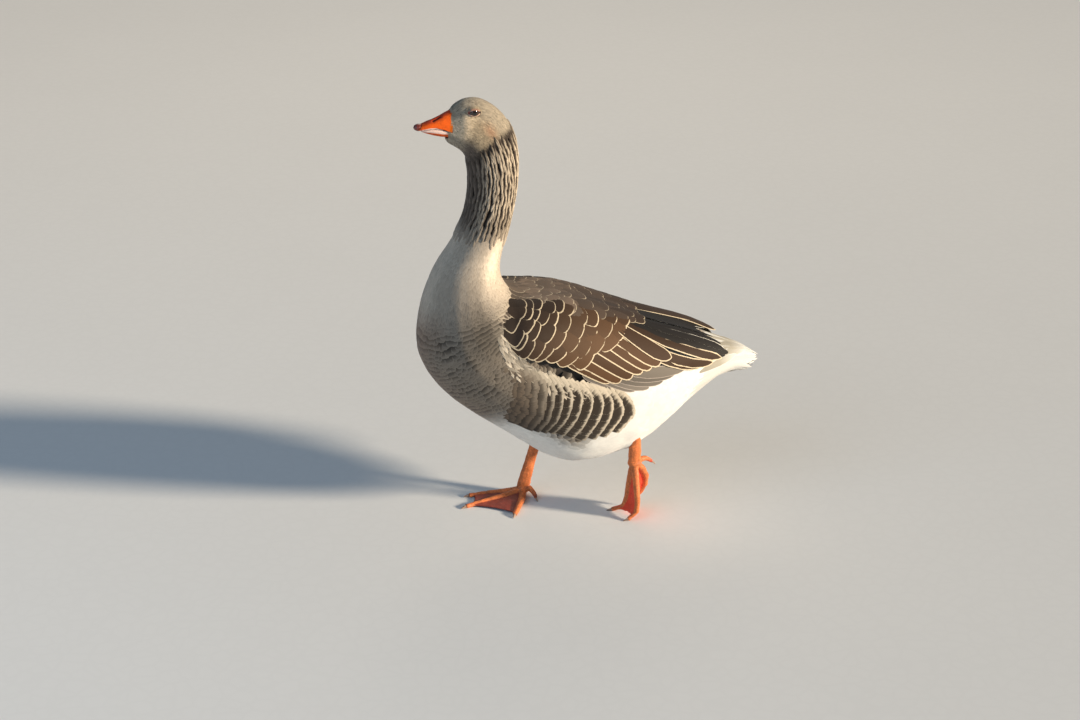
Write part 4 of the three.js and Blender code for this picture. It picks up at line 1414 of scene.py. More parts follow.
def under_flank(t, u):
    """Whether a place on the body lies under the flank's bars."""
    points = body_chart().at(t, u)[0]
    lines = np.array(FLANK_LINES)
    x, z = points[:, 0], points[:, 2]
    top = np.interp(x, lines[:, 0, 0], lines[:, 0, 1]) + 4 * MM
    foot = np.interp(x, lines[:, 3, 0], lines[:, 3, 1]) + 7 * MM
    middle = (z - foot) / (top - foot)
    rear = 0.038 - 0.03 * (2 * middle - 0.9) ** 2
    return (x > -0.118) & (x < rear - 4 * MM) & (z > foot) & (z < top) & (np.abs(points[:, 1]) > 0.02)


@functools.cache
def side_tree(side):
    """A tree of places on the side of the body, by x and z, with their stations and turns."""
    chart = body_chart()
    turns = np.arange(CHART_TURNS) / CHART_TURNS
    low, high = (0.12, 0.47) if side < 0 else (0.53, 0.88)
    columns = np.flatnonzero((turns > low) & (turns < high))
    rows = np.flatnonzero((chart.rows > 8.5) & (chart.rows < 15))
    points = chart.points[np.ix_(rows, columns)].reshape(-1, 3)
    tree = KDTree(len(points))
    for i, point in enumerate(points):
        tree.insert((point[0], 0, point[2]), i)
    tree.balance()
    t, u = np.meshgrid(chart.rows[rows], turns[columns], indexing="ij")
    return tree, t.ravel(), u.ravel()


def flank_places(side, x, z):
    """Stations and turns of places on the side of the body, given x and z."""
    tree, t, u = side_tree(side)
    places = []
    for px, pz in zip(x, z):
        nearest = tree.find_n((px, 0, pz), 4)
        weights = np.array([1 / (distance + 1e-5) for _, _, distance in nearest])
        index = np.array([i for _, i, _ in nearest])
        places.append([(values[index] * weights).sum() / weights.sum() for values in (t, u)])
    return np.array(places).T


def flank_groups(side, seed):
    """The flank: bars of broad feathers with pale tips, tucked over the lower edge of the wing."""
    rng = np.random.default_rng(seed)
    chart = body_chart()
    lines = np.array(FLANK_LINES)
    side_tip = feather_hue("side_tip")
    groups = []
    for k in range(FLANK_BARS):
        share = k / (FLANK_BARS - 1)
        across = np.interp(0.55 * share + 0.45 * share**2, (0, 1), (lines[0, 2, 0], lines[-1, 2, 0]))
        place = np.interp(across, lines[:, 2, 0], FLANK_PLACES)
        line = np.stack([
            [np.interp(place, FLANK_PLACES, lines[:, row, axis]) for axis in (0, 1)] for row in range(4)
        ])
        fine = glide(line, np.linspace(-0.12, 3.0, 120).clip(0, 2.999))
        run = np.concatenate([[0], np.cumsum(np.linalg.norm(np.diff(fine, axis=0), axis=1))])
        count = int(round(run[-1] / FLANK_GAP))
        at = (np.arange(count) + 0.5) / count * run[-1]
        height = 1 - at / run[-1]
        x, z = (np.interp(at, run, fine[:, axis]) for axis in (0, 1))
        back_x, back_z = (np.interp(at, run, np.gradient(fine[:, axis], run)) for axis in (1, 0))
        barred = smoothstep(0.1, 0.5, share)
        x = x + rng.normal(0, 1.6 - 1.2 * barred, count) * MM
        x = x - FLANK_HOOK * smoothstep(0.82, 1.0, height) ** 2
        distance = FLANK_LENGTH[0] + (FLANK_LENGTH[1] - FLANK_LENGTH[0]) * share
        tip = flank_places(side, x, z)
        root = flank_places(side, x + back_x * distance, z - back_z * distance)
        layer = (0.3 + 1.2 * (1 - share) * smoothstep(0.0, 0.15, share)) * MM
        vanes = strip(
            chart, *root, *tip, (4.5 + 4.5 * barred) * MM, "bar" if share > 0.28 else "broad",
            rise=layer + rng.normal(0, 0.05, count) * MM, sink=2.5 * MM, camber=0.0, tip_zone=0.99, soft=0.93,
            thick=0.15 * MM, tilt=-side * 0.15 * MM,
        )
        vivid = smoothstep(0.1, 0.9, 0.9 * share + 0.5 * height - 0.05)
        base = mixed(feather_hue("side") * 0.9, feather_hue("flank"), barred)
        base = base * rng.normal(1, 0.09, (count, 1))
        rim = mixed(side_tip, feather_hue("flank_tip"), barred) * rng.uniform(0.85, 1.05, (count, 1))
        rim = mixed(mixed(side_tip * PLAIN_TONE, base * 1.7, barred), rim, vivid)
        width = (1.3 + 1.2 * share) * MM * (1 + 1.5 * smoothstep(0.66, 1.0, height))
        width = width * rng.uniform(0.8, 1.2, count)
        groups.append(vanes.paint(base, rim, width, fade=-0.6, blend=0.94 - 0.4 * (1 - barred)))
    return groups


# The soft fringe between the lower edge of the wing and the flank.
FRINGE_LINE = ((9.95, 0.190), (10.45, 0.214), (10.85, 0.238), (11.25, 0.243), (11.7, 0.235), (12.25, 0.222))
FRINGE_SHIFTS = (0.0, 0.008, 0.016, 0.024, 0.031)  # its rows, in turns below that line
FRINGE_GAP = 3.2 * MM


def fringe_groups(side, seed):
    """Down under the wing's lower edge."""
    rng = np.random.default_rng(seed)
    chart = winged_chart()
    groups = []
    for row, shift in enumerate(FRINGE_SHIFTS):
        line = [(t, u + shift) for t, u in FRINGE_LINE]
        t, u, _ = spaced(line, FRINGE_GAP, chart, side, 0.5 if row % 2 else 0.2)
        count = len(t)
        distance = rng.uniform(14, 24, count) * MM
        dt, du = chart.heading(t, u, distance, -side * rng.normal(0.35, 0.35, count))
        half = rng.uniform(2.2, 3.4, count) * MM
        vanes = strip(
            chart, t - 0.5 * dt, u - 0.5 * du, t + 0.5 * dt, u + 0.5 * du, half, "lance",
            rise=(0.2 + rng.normal(0, 0.6, count)) * MM, sink=1.5 * MM, thick=0.25 * MM,
            bend=rng.normal(0, 1.2, count) * MM,
        )
        base = feather_hue("down") * rng.uniform(0.6, 1.5, (count, 1))
        groups.append(vanes.paint(base, base * 1.1, 0.8 * MM, fade=0.35))
    return groups


# The tail's fans, lowest first: turn of the middle, spread, height in millimetres, count of feathers, station
# of the tips, tone of the bases, and how much darker the roots are.
# The uppermost fan's olive bases and darker roots are partly the feathers' own tone, partly painted shade
# where the feathers overlap.
TAIL_FANS = (
    (0.5, 0.62, 0.5, 17, 17.6, (0.93, 0.92, 0.90), 0.06),
    (0.0, 0.56, 1.6, 17, 17.6, (0.93, 0.92, 0.90), 0.06),
    (0.0, 0.34, 2.4, 10, 16.9, (0.66, 0.61, 0.52), 0.3),
)
TAIL_ROOT = 14.3
TAIL_WAY = (0.94, 0.0, -0.34)  # the tips reach on this way beyond the end of the chart


def tail_groups(seed):
    """The white tail: fans of pointed feathers, the uppermost short with olive bases."""
    rng = np.random.default_rng(seed)
    chart = body_chart()
    groups = []
    for centre, spread, layer, count, end, tone, fade in TAIL_FANS:
        u = centre + np.linspace(-spread / 2, spread / 2, count)
        t = np.full(count, TAIL_ROOT)
        outer = np.abs(np.linspace(-1, 1, count))
        tip = end - 0.9 * outer**2 + rng.normal(0, 0.16, count)
        half = rng.uniform(5.5, 7.5, count) * MM
        rise = layer * MM + rng.normal(0, 0.3, count) * MM
        vanes = strip(
            chart, t, u, tip, centre + (u - centre) * 0.92, half, "pointed", rise=rise, camber=0.8 * MM,
            bend=rng.normal(0, 0.8, count) * MM, tilt=0.3 * MM, soft=0.4,
        )
        beyond = rng.uniform(1, 9, count)[:, None, None] * MM * smoothstep(0.6, 1.0, vanes.a)
        beyond = beyond * (tip > 16.8)[:, None, None]
        vanes.points += beyond[..., None] * TAIL_WAY
        base = feather_hue("white") * rng.normal(0.95, 0.05, (count, 1))
        groups.append(vanes.paint(base * tone, base, 1.2 * MM, (1.2 * MM, 1.2 * MM), fade, 0.5))
    return groups


# ---------------------------------------------------------------- skin, legs and lids

LEG_VOXEL = 1.35 * MM
LEG_GROWTH = 0.45 * MM
SCALE_SIZE = 2.8 * MM
SCALE_HEIGHT = 0.28 * MM


def cell_distance(points, size, seed):
    """Distance to the nearest of scattered points, as a share of their spacing."""
    cell = points / size
    low = np.floor(cell).astype(np.int64)
    nearest = np.full(points.shape[:-1], np.inf)
    for step in np.ndindex(3, 3, 3):
        corner = low + np.array(step) - 1
        jitter = scattered(corner, seed, 3) / SCATTER_MOST
        nearest = np.minimum(nearest, np.linalg.norm(cell - corner - jitter, axis=-1))
    return nearest


def thickness_of(mesh, co, normals, most):
    """How thick a shell is under each corner."""
    tree = tree_of(mesh)
    depth = np.full(len(co), most)
    for i, (point, normal) in enumerate(zip(co, normals)):
        hit = tree.ray_cast(Vector(point) - Vector(normal) * 1e-4, -Vector(normal), most)
        if hit[0] is not None:
            depth[i] = hit[3]
    return depth


# Stations along the body, and how many millimetres the skin lies inside the flesh there.
SKIN_DEPTHS = ((0, 2.5, 4, 8, 10, 15, 17.5), (1.3, 1.8, 3.6, 4.0, 6.0, 6.0, 5.0))
SKIN_SHARE = 0.38  # most of a thin part's thickness that the skin goes in by
LIP = (-0.2005, -0.2045, 0.6)  # from x to x, and over z, the skin's edge is drawn in under the bill's top
BILL_ROOT = np.array((-0.196, 0.0, 0.604))  # towards this place


def body_skin():
    """The skin under the feathers, and its colours."""
    mesh = remeshed(FEATHERED_NODES + EYE_NODES + WING_NODES, SKIN_VOXEL, GROWTH, 4)
    co = coordinates(mesh)
    normals = vertex_normals(mesh)
    t, u = nearest_places(co)
    depth = np.interp(t, SKIN_DEPTHS[0], np.array(SKIN_DEPTHS[1]) * MM)
    depth = np.minimum(depth, SKIN_SHARE * thickness_of(mesh, co, normals, 0.05))
    inner = co - normals * depth[:, None]
    lip = smoothstep(LIP[0], LIP[1], co[:, 0]) * (co[:, 2] > LIP[2])
    inner = inner + (BILL_ROOT - inner) * (0.6 * lip)[:, None]
    set_coordinates(mesh, inner)
    return mesh, body_colours(t, u, co)[0]


LIT_WEB = (1.35, 0.8, 0.65)  # tone of the rear foot's webs, which the sun shines through
SHADED_WEB = (0.40, 0.50, 0.62)  # tone of the front foot's


def leg_skin():
    """The scaly skin of the shanks, toes and webs, and its colours."""
    mesh = remeshed(LEG_NODES, LEG_VOXEL, LEG_GROWTH, 3)
    co = coordinates(mesh)
    normals = vertex_normals(mesh)
    web = 1 - smoothstep(4.0, 6.5, thickness_of(mesh, co, normals, 0.03) / MM)
    near_floor = smoothstep(0.4, 1.6, co[:, 2] / MM)
    cells = 1 - smoothstep(0.25, 0.8, cell_distance(co * (1, 1, 1.35), SCALE_SIZE, 5))
    relief = SCALE_HEIGHT * cells * (1 - 0.7 * web) + 0.30 * MM * grain(co, 6 * MM, 7)
    creases = np.sin(co[:, 2] / (2.6 * MM) + 2.0 * grain(co, 12 * MM, 9))
    rear, front = co[:, 0] > 0, co[:, 0] < 0
    joint = np.exp(-((co[:, 2] - 0.088) / 0.012) ** 2) * rear
    joint = joint + np.exp(-((co[:, 2] - 0.022) / 0.010) ** 2) * front
    relief = relief + 0.35 * MM * creases * joint
    co = co + normals * (relief * near_floor)[:, None]
    co[:, 2] = np.maximum(co[:, 2], 0.0)
    set_coordinates(mesh, co)
    tints = mixed(bare_hue("leg"), bare_hue("web"), web * (co[:, 2] < 0.10))
    tints = tints * (1 - 0.28 * (1 - cells) * (1 - web) + 0.16 * grain(co, 9 * MM, 11))[:, None]
    thin = smoothstep(0.2, 0.9, web)
    tints = mixed(tints, bare_hue("web") * LIT_WEB, thin * rear * 0.95)
    return mesh, mixed(tints, tints * SHADED_WEB, thin * front)


LID_SEGMENTS = 64
# Rings of the lids: distance from the opening's edge, and height over the eyeball, in millimetres.
LID_RINGS = (
    (-0.5, -0.5), (-0.1, 0.1), (0.1, 0.5), (0.45, 0.75), (0.8, 0.55), (1.15, 0.5), (1.6, 0.85), (2.1, 0.6),
    (2.7, 0.1), (3.4, -0.6), (4.4, -2.0),
)
RAY_START, RAY_REACH = 0.04, 0.05  # rays at the head's surface: their start beside the eye, and their length
LID_INSIDE, LID_CORNER, LID_TAIL = (0.035, 0.014, 0.010), (0.20, 0.022, 0.016), (0.030, 0.016, 0.012)


def head_heights(side, centre, p, q):
    """How far the head's surface stands out from the plane of an eye's centre, p forward and q up from it."""
    tree = head_tree()
    heights = []
    for a, b in zip(p, q):
        start = Vector((centre[0] - a, centre[1] + side * RAY_START, centre[2] + b))
        hit = tree.ray_cast(start, Vector((0, -side, 0)), RAY_REACH)
        heights.append(RAY_START - hit[3] if hit[0] is not None else 0.0)
    return np.array(heights)


@functools.cache
def head_tree():
    """The head's smoothed surface, for rays."""
    return tree_of(remeshed(("head", *EYE_NODES), 1.6 * MM, 0.0, 3))


def eye_frame(side_name):
    """An eyeball's centre and radius."""
    low, high = (np.array(corner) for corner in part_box(f"eye_{side_name}"))
    centre = (low + high) / 2
    centre[1] -= math.copysign(EYE_DEPTH, centre[1])
    return centre, float((high - low).max() / 2)


def eyeball_squeeze(q):
    """How much flatter an eyeball is where the lids cover it, at a height q over its centre."""
    return 0.87 - 0.42 * smoothstep(4.0 * MM, 6.0 * MM, np.abs(q))


def lid_mesh(side_name, side):
    """Both lids of one eye: a ring around the almond opening, with its folds, and its colours."""
    sizes = bpy.context.scene.goose_bare_parts
    centre, radius = eye_frame(side_name)
    around = math.tau * np.arange(LID_SEGMENTS) / LID_SEGMENTS
    opening = np.where(np.sin(around) > 0, sizes.upper_lid, sizes.lower_lid)
    edge_p = sizes.eye_opening * np.cos(around)
    edge_q = opening * np.sin(around) * np.abs(np.sin(around)) ** 0.25
    out = unit(np.stack([np.cos(around) / sizes.eye_opening, np.sin(around) / opening], -1))
    bm = bmesh.new()
    ring = bmesh.ops.create_circle(bm, segments=LID_SEGMENTS, radius=1.0)["verts"]
    edges = list(bm.edges)
    rows, tints = [ring], []
    for _ in LID_RINGS[1:]:
        made = bmesh.ops.extrude_edge_only(bm, edges=edges)["geom"]
        edges = [item for item in made if isinstance(item, bmesh.types.BMEdge)]
        edges = [edge for edge in edges if all(vertex in set(made) for vertex in edge.verts)]
        fresh = {vertex for edge in edges for vertex in edge.verts}
        ordered = []
        for vertex in rows[-1]:
            ends = (edge.other_vert(vertex) for edge in vertex.link_edges)
            ordered.append(next(end for end in ends if end in fresh))
        edges = [edge for edge in edges if edge.verts[0] in fresh and edge.verts[1] in fresh]
        rows.append(ordered)
    for k, (ring, (away, height)) in enumerate(zip(rows, LID_RINGS)):
        fold = 1 + 0.35 * np.sin(around) if 4 < k < 10 else 1.0
        p = edge_p + out[:, 0] * away * MM * 1.1
        q = edge_q + out[:, 1] * away * MM * 0.9
        span = np.minimum(np.hypot(p, q), 0.93 * radius)
        ball = np.sqrt(radius**2 - span**2) * eyeball_squeeze(q)
        share = smoothstep(1.0, 4.0, away)
        level = ball * (1 - share) + head_heights(side, centre, p, q) * share + height * MM * fold
        cover = np.sqrt(np.maximum(radius**2 - p**2 - q**2, 0.0)) * eyeball_squeeze(q) + 0.3 * MM
        level = np.where(away > 0.3, np.maximum(level, cover), level)
        for i, vertex in enumerate(ring):
            vertex.co = (centre[0] - p[i], centre[1] + side * level[i], centre[2] + q[i])
        upper = smoothstep(-0.2, 0.4, np.sin(around))
        tint = mixed(bare_hue("lid_edge"), bare_hue("lid"), upper)
        inner = np.full(LID_SEGMENTS, 1 - smoothstep(-0.1, 0.2, away))
        tint = mixed(tint, LID_INSIDE, inner)
        corner = smoothstep(0.80, 0.97, np.cos(around)) * (1 - smoothstep(0.8, 2.5, away))
        tint = mixed(tint, LID_CORNER, corner)
        tail = smoothstep(0.86, 0.98, -np.cos(around)) * (1 - smoothstep(1.5, 3.5, away))
        tint = mixed(tint, LID_TAIL, tail)
        feathered = np.full(LID_SEGMENTS, smoothstep(1.4, 2.4, away))
        tints.append(mixed(tint, feather_hue("cheek") * 0.8, feathered))
    order = {vertex: k * LID_SEGMENTS + i for k, ring in enumerate(rows) for i, vertex in enumerate(ring)}
    colours = np.concatenate(tints)[[order[vertex] for vertex in bm.verts]]
    bmesh.ops.recalc_face_normals(bm, faces=bm.faces)
    bm.normal_update()
    if sum(face.normal.y * side for face in bm.faces) < 0:
        bmesh.ops.reverse_faces(bm, faces=bm.faces)
    return steady_mesh("lid", bm), colours


def steady_mesh(name, bm):
    """A mesh of a BMesh that is then freed, with faces and their first corners in the same order each run."""
    bm.verts.index_update()
    faces = []
    for face in bm.faces:
        ring = [vertex.index for vertex in face.verts]
        first = ring.index(min(ring))
        faces.append(ring[first:] + ring[:first])
    mesh = bpy.data.meshes.new(name)
    mesh.from_pydata([vertex.co for vertex in bm.verts], [], sorted(faces))
    bm.free()
    return mesh


def joined(name, parts):
    """One mesh from meshes with their colours, each with its own material slot."""
    bm = bmesh.new()
    for slot, (mesh, _) in enumerate(parts):
        mesh.polygons.foreach_set("material_index", np.full(len(mesh.polygons), slot, np.int32))
        bm.from_mesh(mesh)
    whole = bpy.data.meshes.new(name)
    bm.to_mesh(whole)
    bm.free()
    set_tint(whole, "tint", np.concatenate([tints for _, tints in parts]))
    whole.polygons.foreach_set("use_smooth", np.ones(len(whole.polygons), bool))
    return whole


# ---------------------------------------------------------------- eyes

OPEN_HALF = 4.5 * MM  # height of the ball that stays round behind the opening
OPEN_SQUEEZE = 0.65  # share of the rest that it is flatter by
CORNEA = (0.5 * MM, 4.6 * MM)  # how far it stands out, and its radius
PUPIL, EYE_EDGE = (0.002, 0.002, 0.002), (0.012, 0.008, 0.007)


def eyeball_mesh(side_name, side):
    """An eyeball with its cornea, and its colours."""
    centre, radius = eye_frame(side_name)
    bm = bmesh.new()
    bmesh.ops.create_uvsphere(bm, u_segments=48, v_segments=36, radius=radius)
    turn = Vector((0, side, 0)).to_track_quat("Z", "Y").to_matrix()
    bmesh.ops.rotate(bm, verts=bm.verts, cent=(0, 0, 0), matrix=turn)
    for vertex in bm.verts:
        beyond = max(abs(vertex.co.z) - OPEN_HALF, 0.0)
        vertex.co.z -= math.copysign(OPEN_SQUEEZE * beyond, vertex.co.z)
        axis = math.hypot(vertex.co.x, vertex.co.z)
        if vertex.co.y * side > 0:
            vertex.co.y *= eyeball_squeeze(vertex.co.z)
            vertex.co.y += side * CORNEA[0] * math.exp(-((axis / CORNEA[1]) ** 4))
    bmesh.ops.translate(bm, verts=bm.verts, vec=tuple(centre))
    mesh = steady_mesh(f"eyeball_{side_name}", bm)
    away = coordinates(mesh) - centre
    axis = np.where(away[:, 1] * side > 0, np.hypot(away[:, 0], away[:, 2]), 1.0)
    tints = mixed(PUPIL, bare_hue("iris"), smoothstep(2.3, 2.9, axis / MM))
    tints = mixed(tints, EYE_EDGE, smoothstep(5.4, 6.2, axis / MM))
    set_tint(mesh, "tint", tints)
    mesh.polygons.foreach_set("use_smooth", np.ones(len(mesh.polygons), bool))
    return mesh


# ---------------------------------------------------------------- bill and claws

BILL_VOXEL = 0.62 * MM
# The pale comb at the mouth: x, and z of its top and of its foot.
COMB = (
    (-0.2430, 0.5962, 0.5930), (-0.2300, 0.5990, 0.5918), (-0.2213, 0.5990, 0.5906),
    (-0.2110, 0.5957, 0.5888), (-0.2040, 0.5925, 0.5884), (-0.1990, 0.5915, 0.5900),
)
# The edge at the face: z, and x there.
BASE_EDGE = ((0.5860, -0.2005), (0.5942, -0.1999), (0.6096, -0.1969), (0.6242, -0.1917))
NOSTRIL = ((-0.2245, 0.6080), (-0.2140, 0.6132))  # x and z of its front and its rear end
COMB_PITCH = 1.3 * MM


def along_line(table, value):
    """The other columns of a table at values of its first."""
    first, *others = np.transpose(table)
    return [np.interp(value, first, other) for other in others]


def bill_mesh(node):
    """A smooth half of the bill, with its nostrils and comb, and its colours."""
    mesh = remeshed((node,), BILL_VOXEL, 0.0, 4)
    co = coordinates(mesh)
    normals = vertex_normals(mesh)
    x, y, z = co.T
    front, rear = (np.array(point) for point in NOSTRIL)
    slit = rear - front
    place = np.stack([x, z], -1) - front
    share = np.clip(place @ slit / (slit @ slit), 0, 1)
    apart = np.linalg.norm(place - share[:, None] * slit, axis=1) / MM
    outer = smoothstep(2.0, 4.0, np.abs(y) / MM)
    hole = np.exp(-((apart / 1.05) ** 2)) * outer
    fossa = np.exp(-((apart / 3.2) ** 2)) * outer
    top, foot = along_line(COMB, x)
    comb = smoothstep(-0.3, 0.4, (top - z) / MM) * smoothstep(-0.3, 0.5, (z - foot) / MM)
    comb = comb * smoothstep(-0.2435, -0.2400, x) * (1 - smoothstep(-0.2015, -0.1990, x))
    comb = comb * smoothstep(2.0, 4.5, np.abs(y) / MM)
    tooth = 0.5 + 0.5 * np.sin(math.tau * x / COMB_PITCH)
    rim = (along_line(BASE_EDGE, z)[0] - x) / MM
    edge = np.exp(-((rim / 1.6) ** 2))
    mouth = np.exp(-(((z - top) / (0.45 * MM)) ** 2)) * smoothstep(-0.2300, -0.2200, x) * outer
    push = -1.7 * hole - 0.45 * fossa + 0.8 * edge + comb * (0.22 * tooth - 0.05) - 0.3 * mouth
    push = push + 0.10 * grain(co, 5 * MM, 21)
    set_coordinates(mesh, co + normals * (push * MM)[:, None])
    # Painted shade on the top of the bill and in the groove around each nostril.
    ridge = smoothstep(0.55, 0.92, normals[:, 2]) * smoothstep(0.600, 0.606, z)
    tints = mixed(bare_hue("bill"), bare_hue("bill_shade"), ridge)
    halo = 0.33 * smoothstep(2.0, 0.0, np.abs(apart - 2.6)) * outer
    tints = mixed(tints, bare_hue("bill_shade"), halo)
    tints = mixed(tints, bare_hue("bill_base"), np.exp(-(((rim - 1.2) / 1.7) ** 2)) * 0.9)
    tints = tints * (1 + 0.10 * grain(co, 4 * MM, 23) + 0.08 * grain(co, 1.5 * MM, 24))[:, None]
    # Pale comb, darker between its teeth: partly the lamellae's own colour, partly a painted highlight along
    # the bill's edge.
    pale = mixed(bare_hue("bill_comb"), bare_hue("bill") * 0.7, (1 - tooth) * 0.45)
    tints = mixed(tints, pale, comb)
    # Dark mouth line and nostril holes: partly their own dark red, partly painted shade in the gap and the
    # holes.
    dark = np.maximum(mouth * 0.9, np.exp(-((apart / 0.85) ** 4)) * outer)
    return mesh, mixed(tints, bare_hue("mouth"), dark)


def painted(name, nodes, voxel, colour, seed):
    """A smooth copy of small solids in one uneven colour."""
    mesh = remeshed(nodes, voxel, 0.0, 2)
    mesh.name = name
    co = coordinates(mesh)
    shade = 1 + 0.18 * grain(co, 3 * MM, seed) + 0.08 * grain(co, 1 * MM, seed + 1)
    set_tint(mesh, "tint", colour * shade[:, None])
    return mesh


# ---------------------------------------------------------------- operators


def coat_piece(name, groups, slot, material, large=False):
    """A piece of the coat, from groups of feathers."""
    mesh = coat_mesh(name, groups, large)
    mesh.materials.append(material)
    placed(name, mesh, slot)


class GOOSE_OT_skin(Operator):
    """Skin of the body, the wings and the legs, with the lids of the eyes"""

    bl_idname = "goose.skin"
    bl_label = "Skin, legs and lids"

    def execute(self, context):
        parts = [body_skin(), leg_skin()] + [lid_mesh(name, side) for name, side in SIDES]
        mesh = joined("skin", parts)
        lids = bare_material("lids", 500.0, 1400.0, 0.35, 0.35, Roughness=0.42, Specular_IOR_Level=0.4)
        mesh.materials.append(bare_material("skin under the coat", 300.0, 700.0, 0.3, 0.2, Roughness=0.8))
        mesh.materials.append(bare_material(
            "scaly skin", 160.0, 430.0, 0.45, 0.55, Roughness=0.46, Specular_IOR_Level=0.4,
        ))
        mesh.materials.append(lids)
        mesh.materials.append(lids)
        placed("skin", mesh, "plumage_body", *FEATHERED_NODES, *WING_NODES, *LEG_NODES)
        return {"FINISHED"}


class GOOSE_OT_eyes(Operator):
    """Both eyeballs"""

    bl_idname = "goose.eyes"
    bl_label = "Eyes"

    def execute(self, context):
        material = bare_material(
            "eye", 900.0, 2200.0, 0.4, 0.0, Roughness=0.08, Specular_IOR_Level=0.45, Coat_Weight=0.6,
            Coat_Roughness=0.03,
        )
        for name, side in SIDES:
            mesh = eyeball_mesh(name, side)
            mesh.materials.append(material)
            placed(f"eyeball_{name}", mesh, "eye", f"eye_{name}")
        return {"FINISHED"}


class GOOSE_OT_bill(Operator):
    """Bill with its nostrils, comb and nail"""

    bl_idname = "goose.bill"
    bl_label = "Bill"

    def execute(self, context):
        mesh = joined("bill", [bill_mesh("bill_upper"), bill_mesh("bill_lower")])
        horn = bare_material(
            "bill horn", 260.0, 1500.0, 0.30, 0.2, Roughness=0.46, Specular_IOR_Level=0.2, Coat_Weight=0.03,
            Coat_Roughness=0.2,
        )
        mesh.materials.append(horn)
        mesh.materials.append(horn)
        placed("bill", mesh, "bill", "bill_upper", "bill_lower")
        nail = painted("nail", ("bill_nail",), 0.45 * MM, bare_hue("nail"), 31)
        horn = bare_material("nail horn", 300.0, 1200.0, 0.35, 0.15, Roughness=0.3, Coat_Weight=0.25)
        nail.materials.append(horn)
        placed("nail", nail, "bill_nail", "bill_nail")
        return {"FINISHED"}


class GOOSE_OT_claws(Operator):
    """All eight claws"""

    bl_idname = "goose.claws"
    bl_label = "Claws"

    def execute(self, context):
        mesh = painted("claws", CLAW_NODES, 0.5 * MM, bare_hue("claw"), 41)
        mesh.materials.append(bare_material("claw horn", 400.0, 900.0, 0.4, 0.2, Roughness=0.35))
        placed("claws", mesh, "claw", *CLAW_NODES)
        return {"FINISHED"}


class GOOSE_OT_head_coat(Operator):
    """Small feathers of the head"""

    bl_idname = "goose.head_coat"
    bl_label = "Head feathers"

    def execute(self, context):
        vanes = body_feathers(
            0.12, 3.9, 1.9 * MM, 1.8 * MM, 11, overlap=3.2, width=1.7, depth=0.8 * MM,
            outline="tiny", camber=0.12, thick=0.12, rim=0.5, swerve=0.15, mottle=0.16, soft=0.78,
            keep=lambda t, u: off_the_ridges(t, u) & ((t > 0.24) | (np.abs(turn_from_back(u) - 0.25) < 0.16)),
        )
        coat_piece("coat_head", [thinned(vanes, off_the_eyes(vanes))], "plumage_head", soft_plumage())
        return {"FINISHED"}


class GOOSE_OT_neck_coat(Operator):
    """Furrowed feathers of the neck"""

    bl_idname = "goose.neck_coat"
    bl_label = "Neck feathers"

    def execute(self, context):
        coat_piece("coat_neck", [neck_ridges(12)], "plumage_neck", soft_plumage())
        return {"FINISHED"}


class GOOSE_OT_breast_coat(Operator):
    """Feathers of the lower neck and the breast"""

    bl_idname = "goose.breast_coat"
    bl_label = "Breast feathers"

    def execute(self, context):
        upper = body_feathers(
            6.3, 9.0, 3.6 * MM, 3.4 * MM, 13, overlap=3.4, width=1.5, jitter=0.2, depth=0.6 * MM, camber=0.05,
            thick=0.12, outline="small", mottle=0.05, rim=0.5, soft=0.88, fade=0.1, keep=off_the_ridges,
        )
        lower = body_feathers(
            8.8, 11.7, 5.6 * MM, 5.6 * MM, 14, overlap=2.6, width=2.3, depth=0.9 * MM, jitter=0.05,
            camber=0.0, rim=0.16, outline="broad", wave=1.15, swerve=0.05, thick=0.10, soft=0.95, mottle=0.06,
            tip_zone=0.75, blend=0.5, uneven=0.3, fade=0.2,
            keep=lambda t, u: uncovered(t, u) & (mantle_share(t, u) < 0.6) & ~under_flank(t, u),
        )
        coat_piece("coat_neck_base", [upper], "plumage_body", soft_plumage())
        coat_piece("coat_breast", [lower], "plumage_body", soft_plumage())
        return {"FINISHED"}


class GOOSE_OT_belly_coat(Operator):
    """White feathers of the belly, the thighs and the vent"""

    bl_idname = "goose.belly_coat"
    bl_label = "Belly feathers"

    def execute(self, context):
        vanes = body_feathers(
            11.6, 15.3, 6.5 * MM, 6.0 * MM, 15, overlap=3.2, width=2.0, depth=0.8 * MM,
            camber=0.05, rim=0.3, mottle=0.03, fade=0.05, jitter=0.25, thick=0.12, soft=0.88,
            keep=lambda t, u: uncovered(t, u) & ~under_flank(t, u),
        )
        coat_piece("coat_belly", [vanes], "plumage_pale", soft_plumage())
        return {"FINISHED"}


class GOOSE_OT_mantle(Operator):
    """Dark feathers of the shoulders and the back"""

    bl_idname = "goose.mantle"
    bl_label = "Mantle"

    def execute(self, context):
        shoulders = body_feathers(
            8.7, 10.6, 5.5 * MM, 6.0 * MM, 16, overlap=3.4, width=1.5, depth=3.0 * MM,
            outline="pointed", camber=1.0, swerve=0.25, mottle=0.2, rim=0.3, roof=1.4, rise=0.8 * MM,
            keep=lambda t, u: (mantle_share(t, u) > 0.35) & (turn_from_back(u) > 0.03),
        )
        shoulders.side_rim = np.full((len(shoulders.length), 2), 0.8 * MM)
        coat_piece("shoulders", [shoulders], "plumage_body", firm_plumage())
        coat_piece("mantle", mantle_groups(51), "plumage_body", firm_plumage(), large=True)
        return {"FINISHED"}


class GOOSE_OT_flanks(Operator):
    """Barred feathers of both flanks"""

    bl_idname = "goose.flanks"
    bl_label = "Flanks"

    def execute(self, context):
        for seed, (name, side) in zip((41, 42), SIDES):
            coat_piece(f"flank_{name}", flank_groups(side, seed), "plumage_body", soft_plumage(), large=True)
            coat_piece(f"fringe_{name}", fringe_groups(side, seed + 4), "plumage_body", soft_plumage())
        return {"FINISHED"}


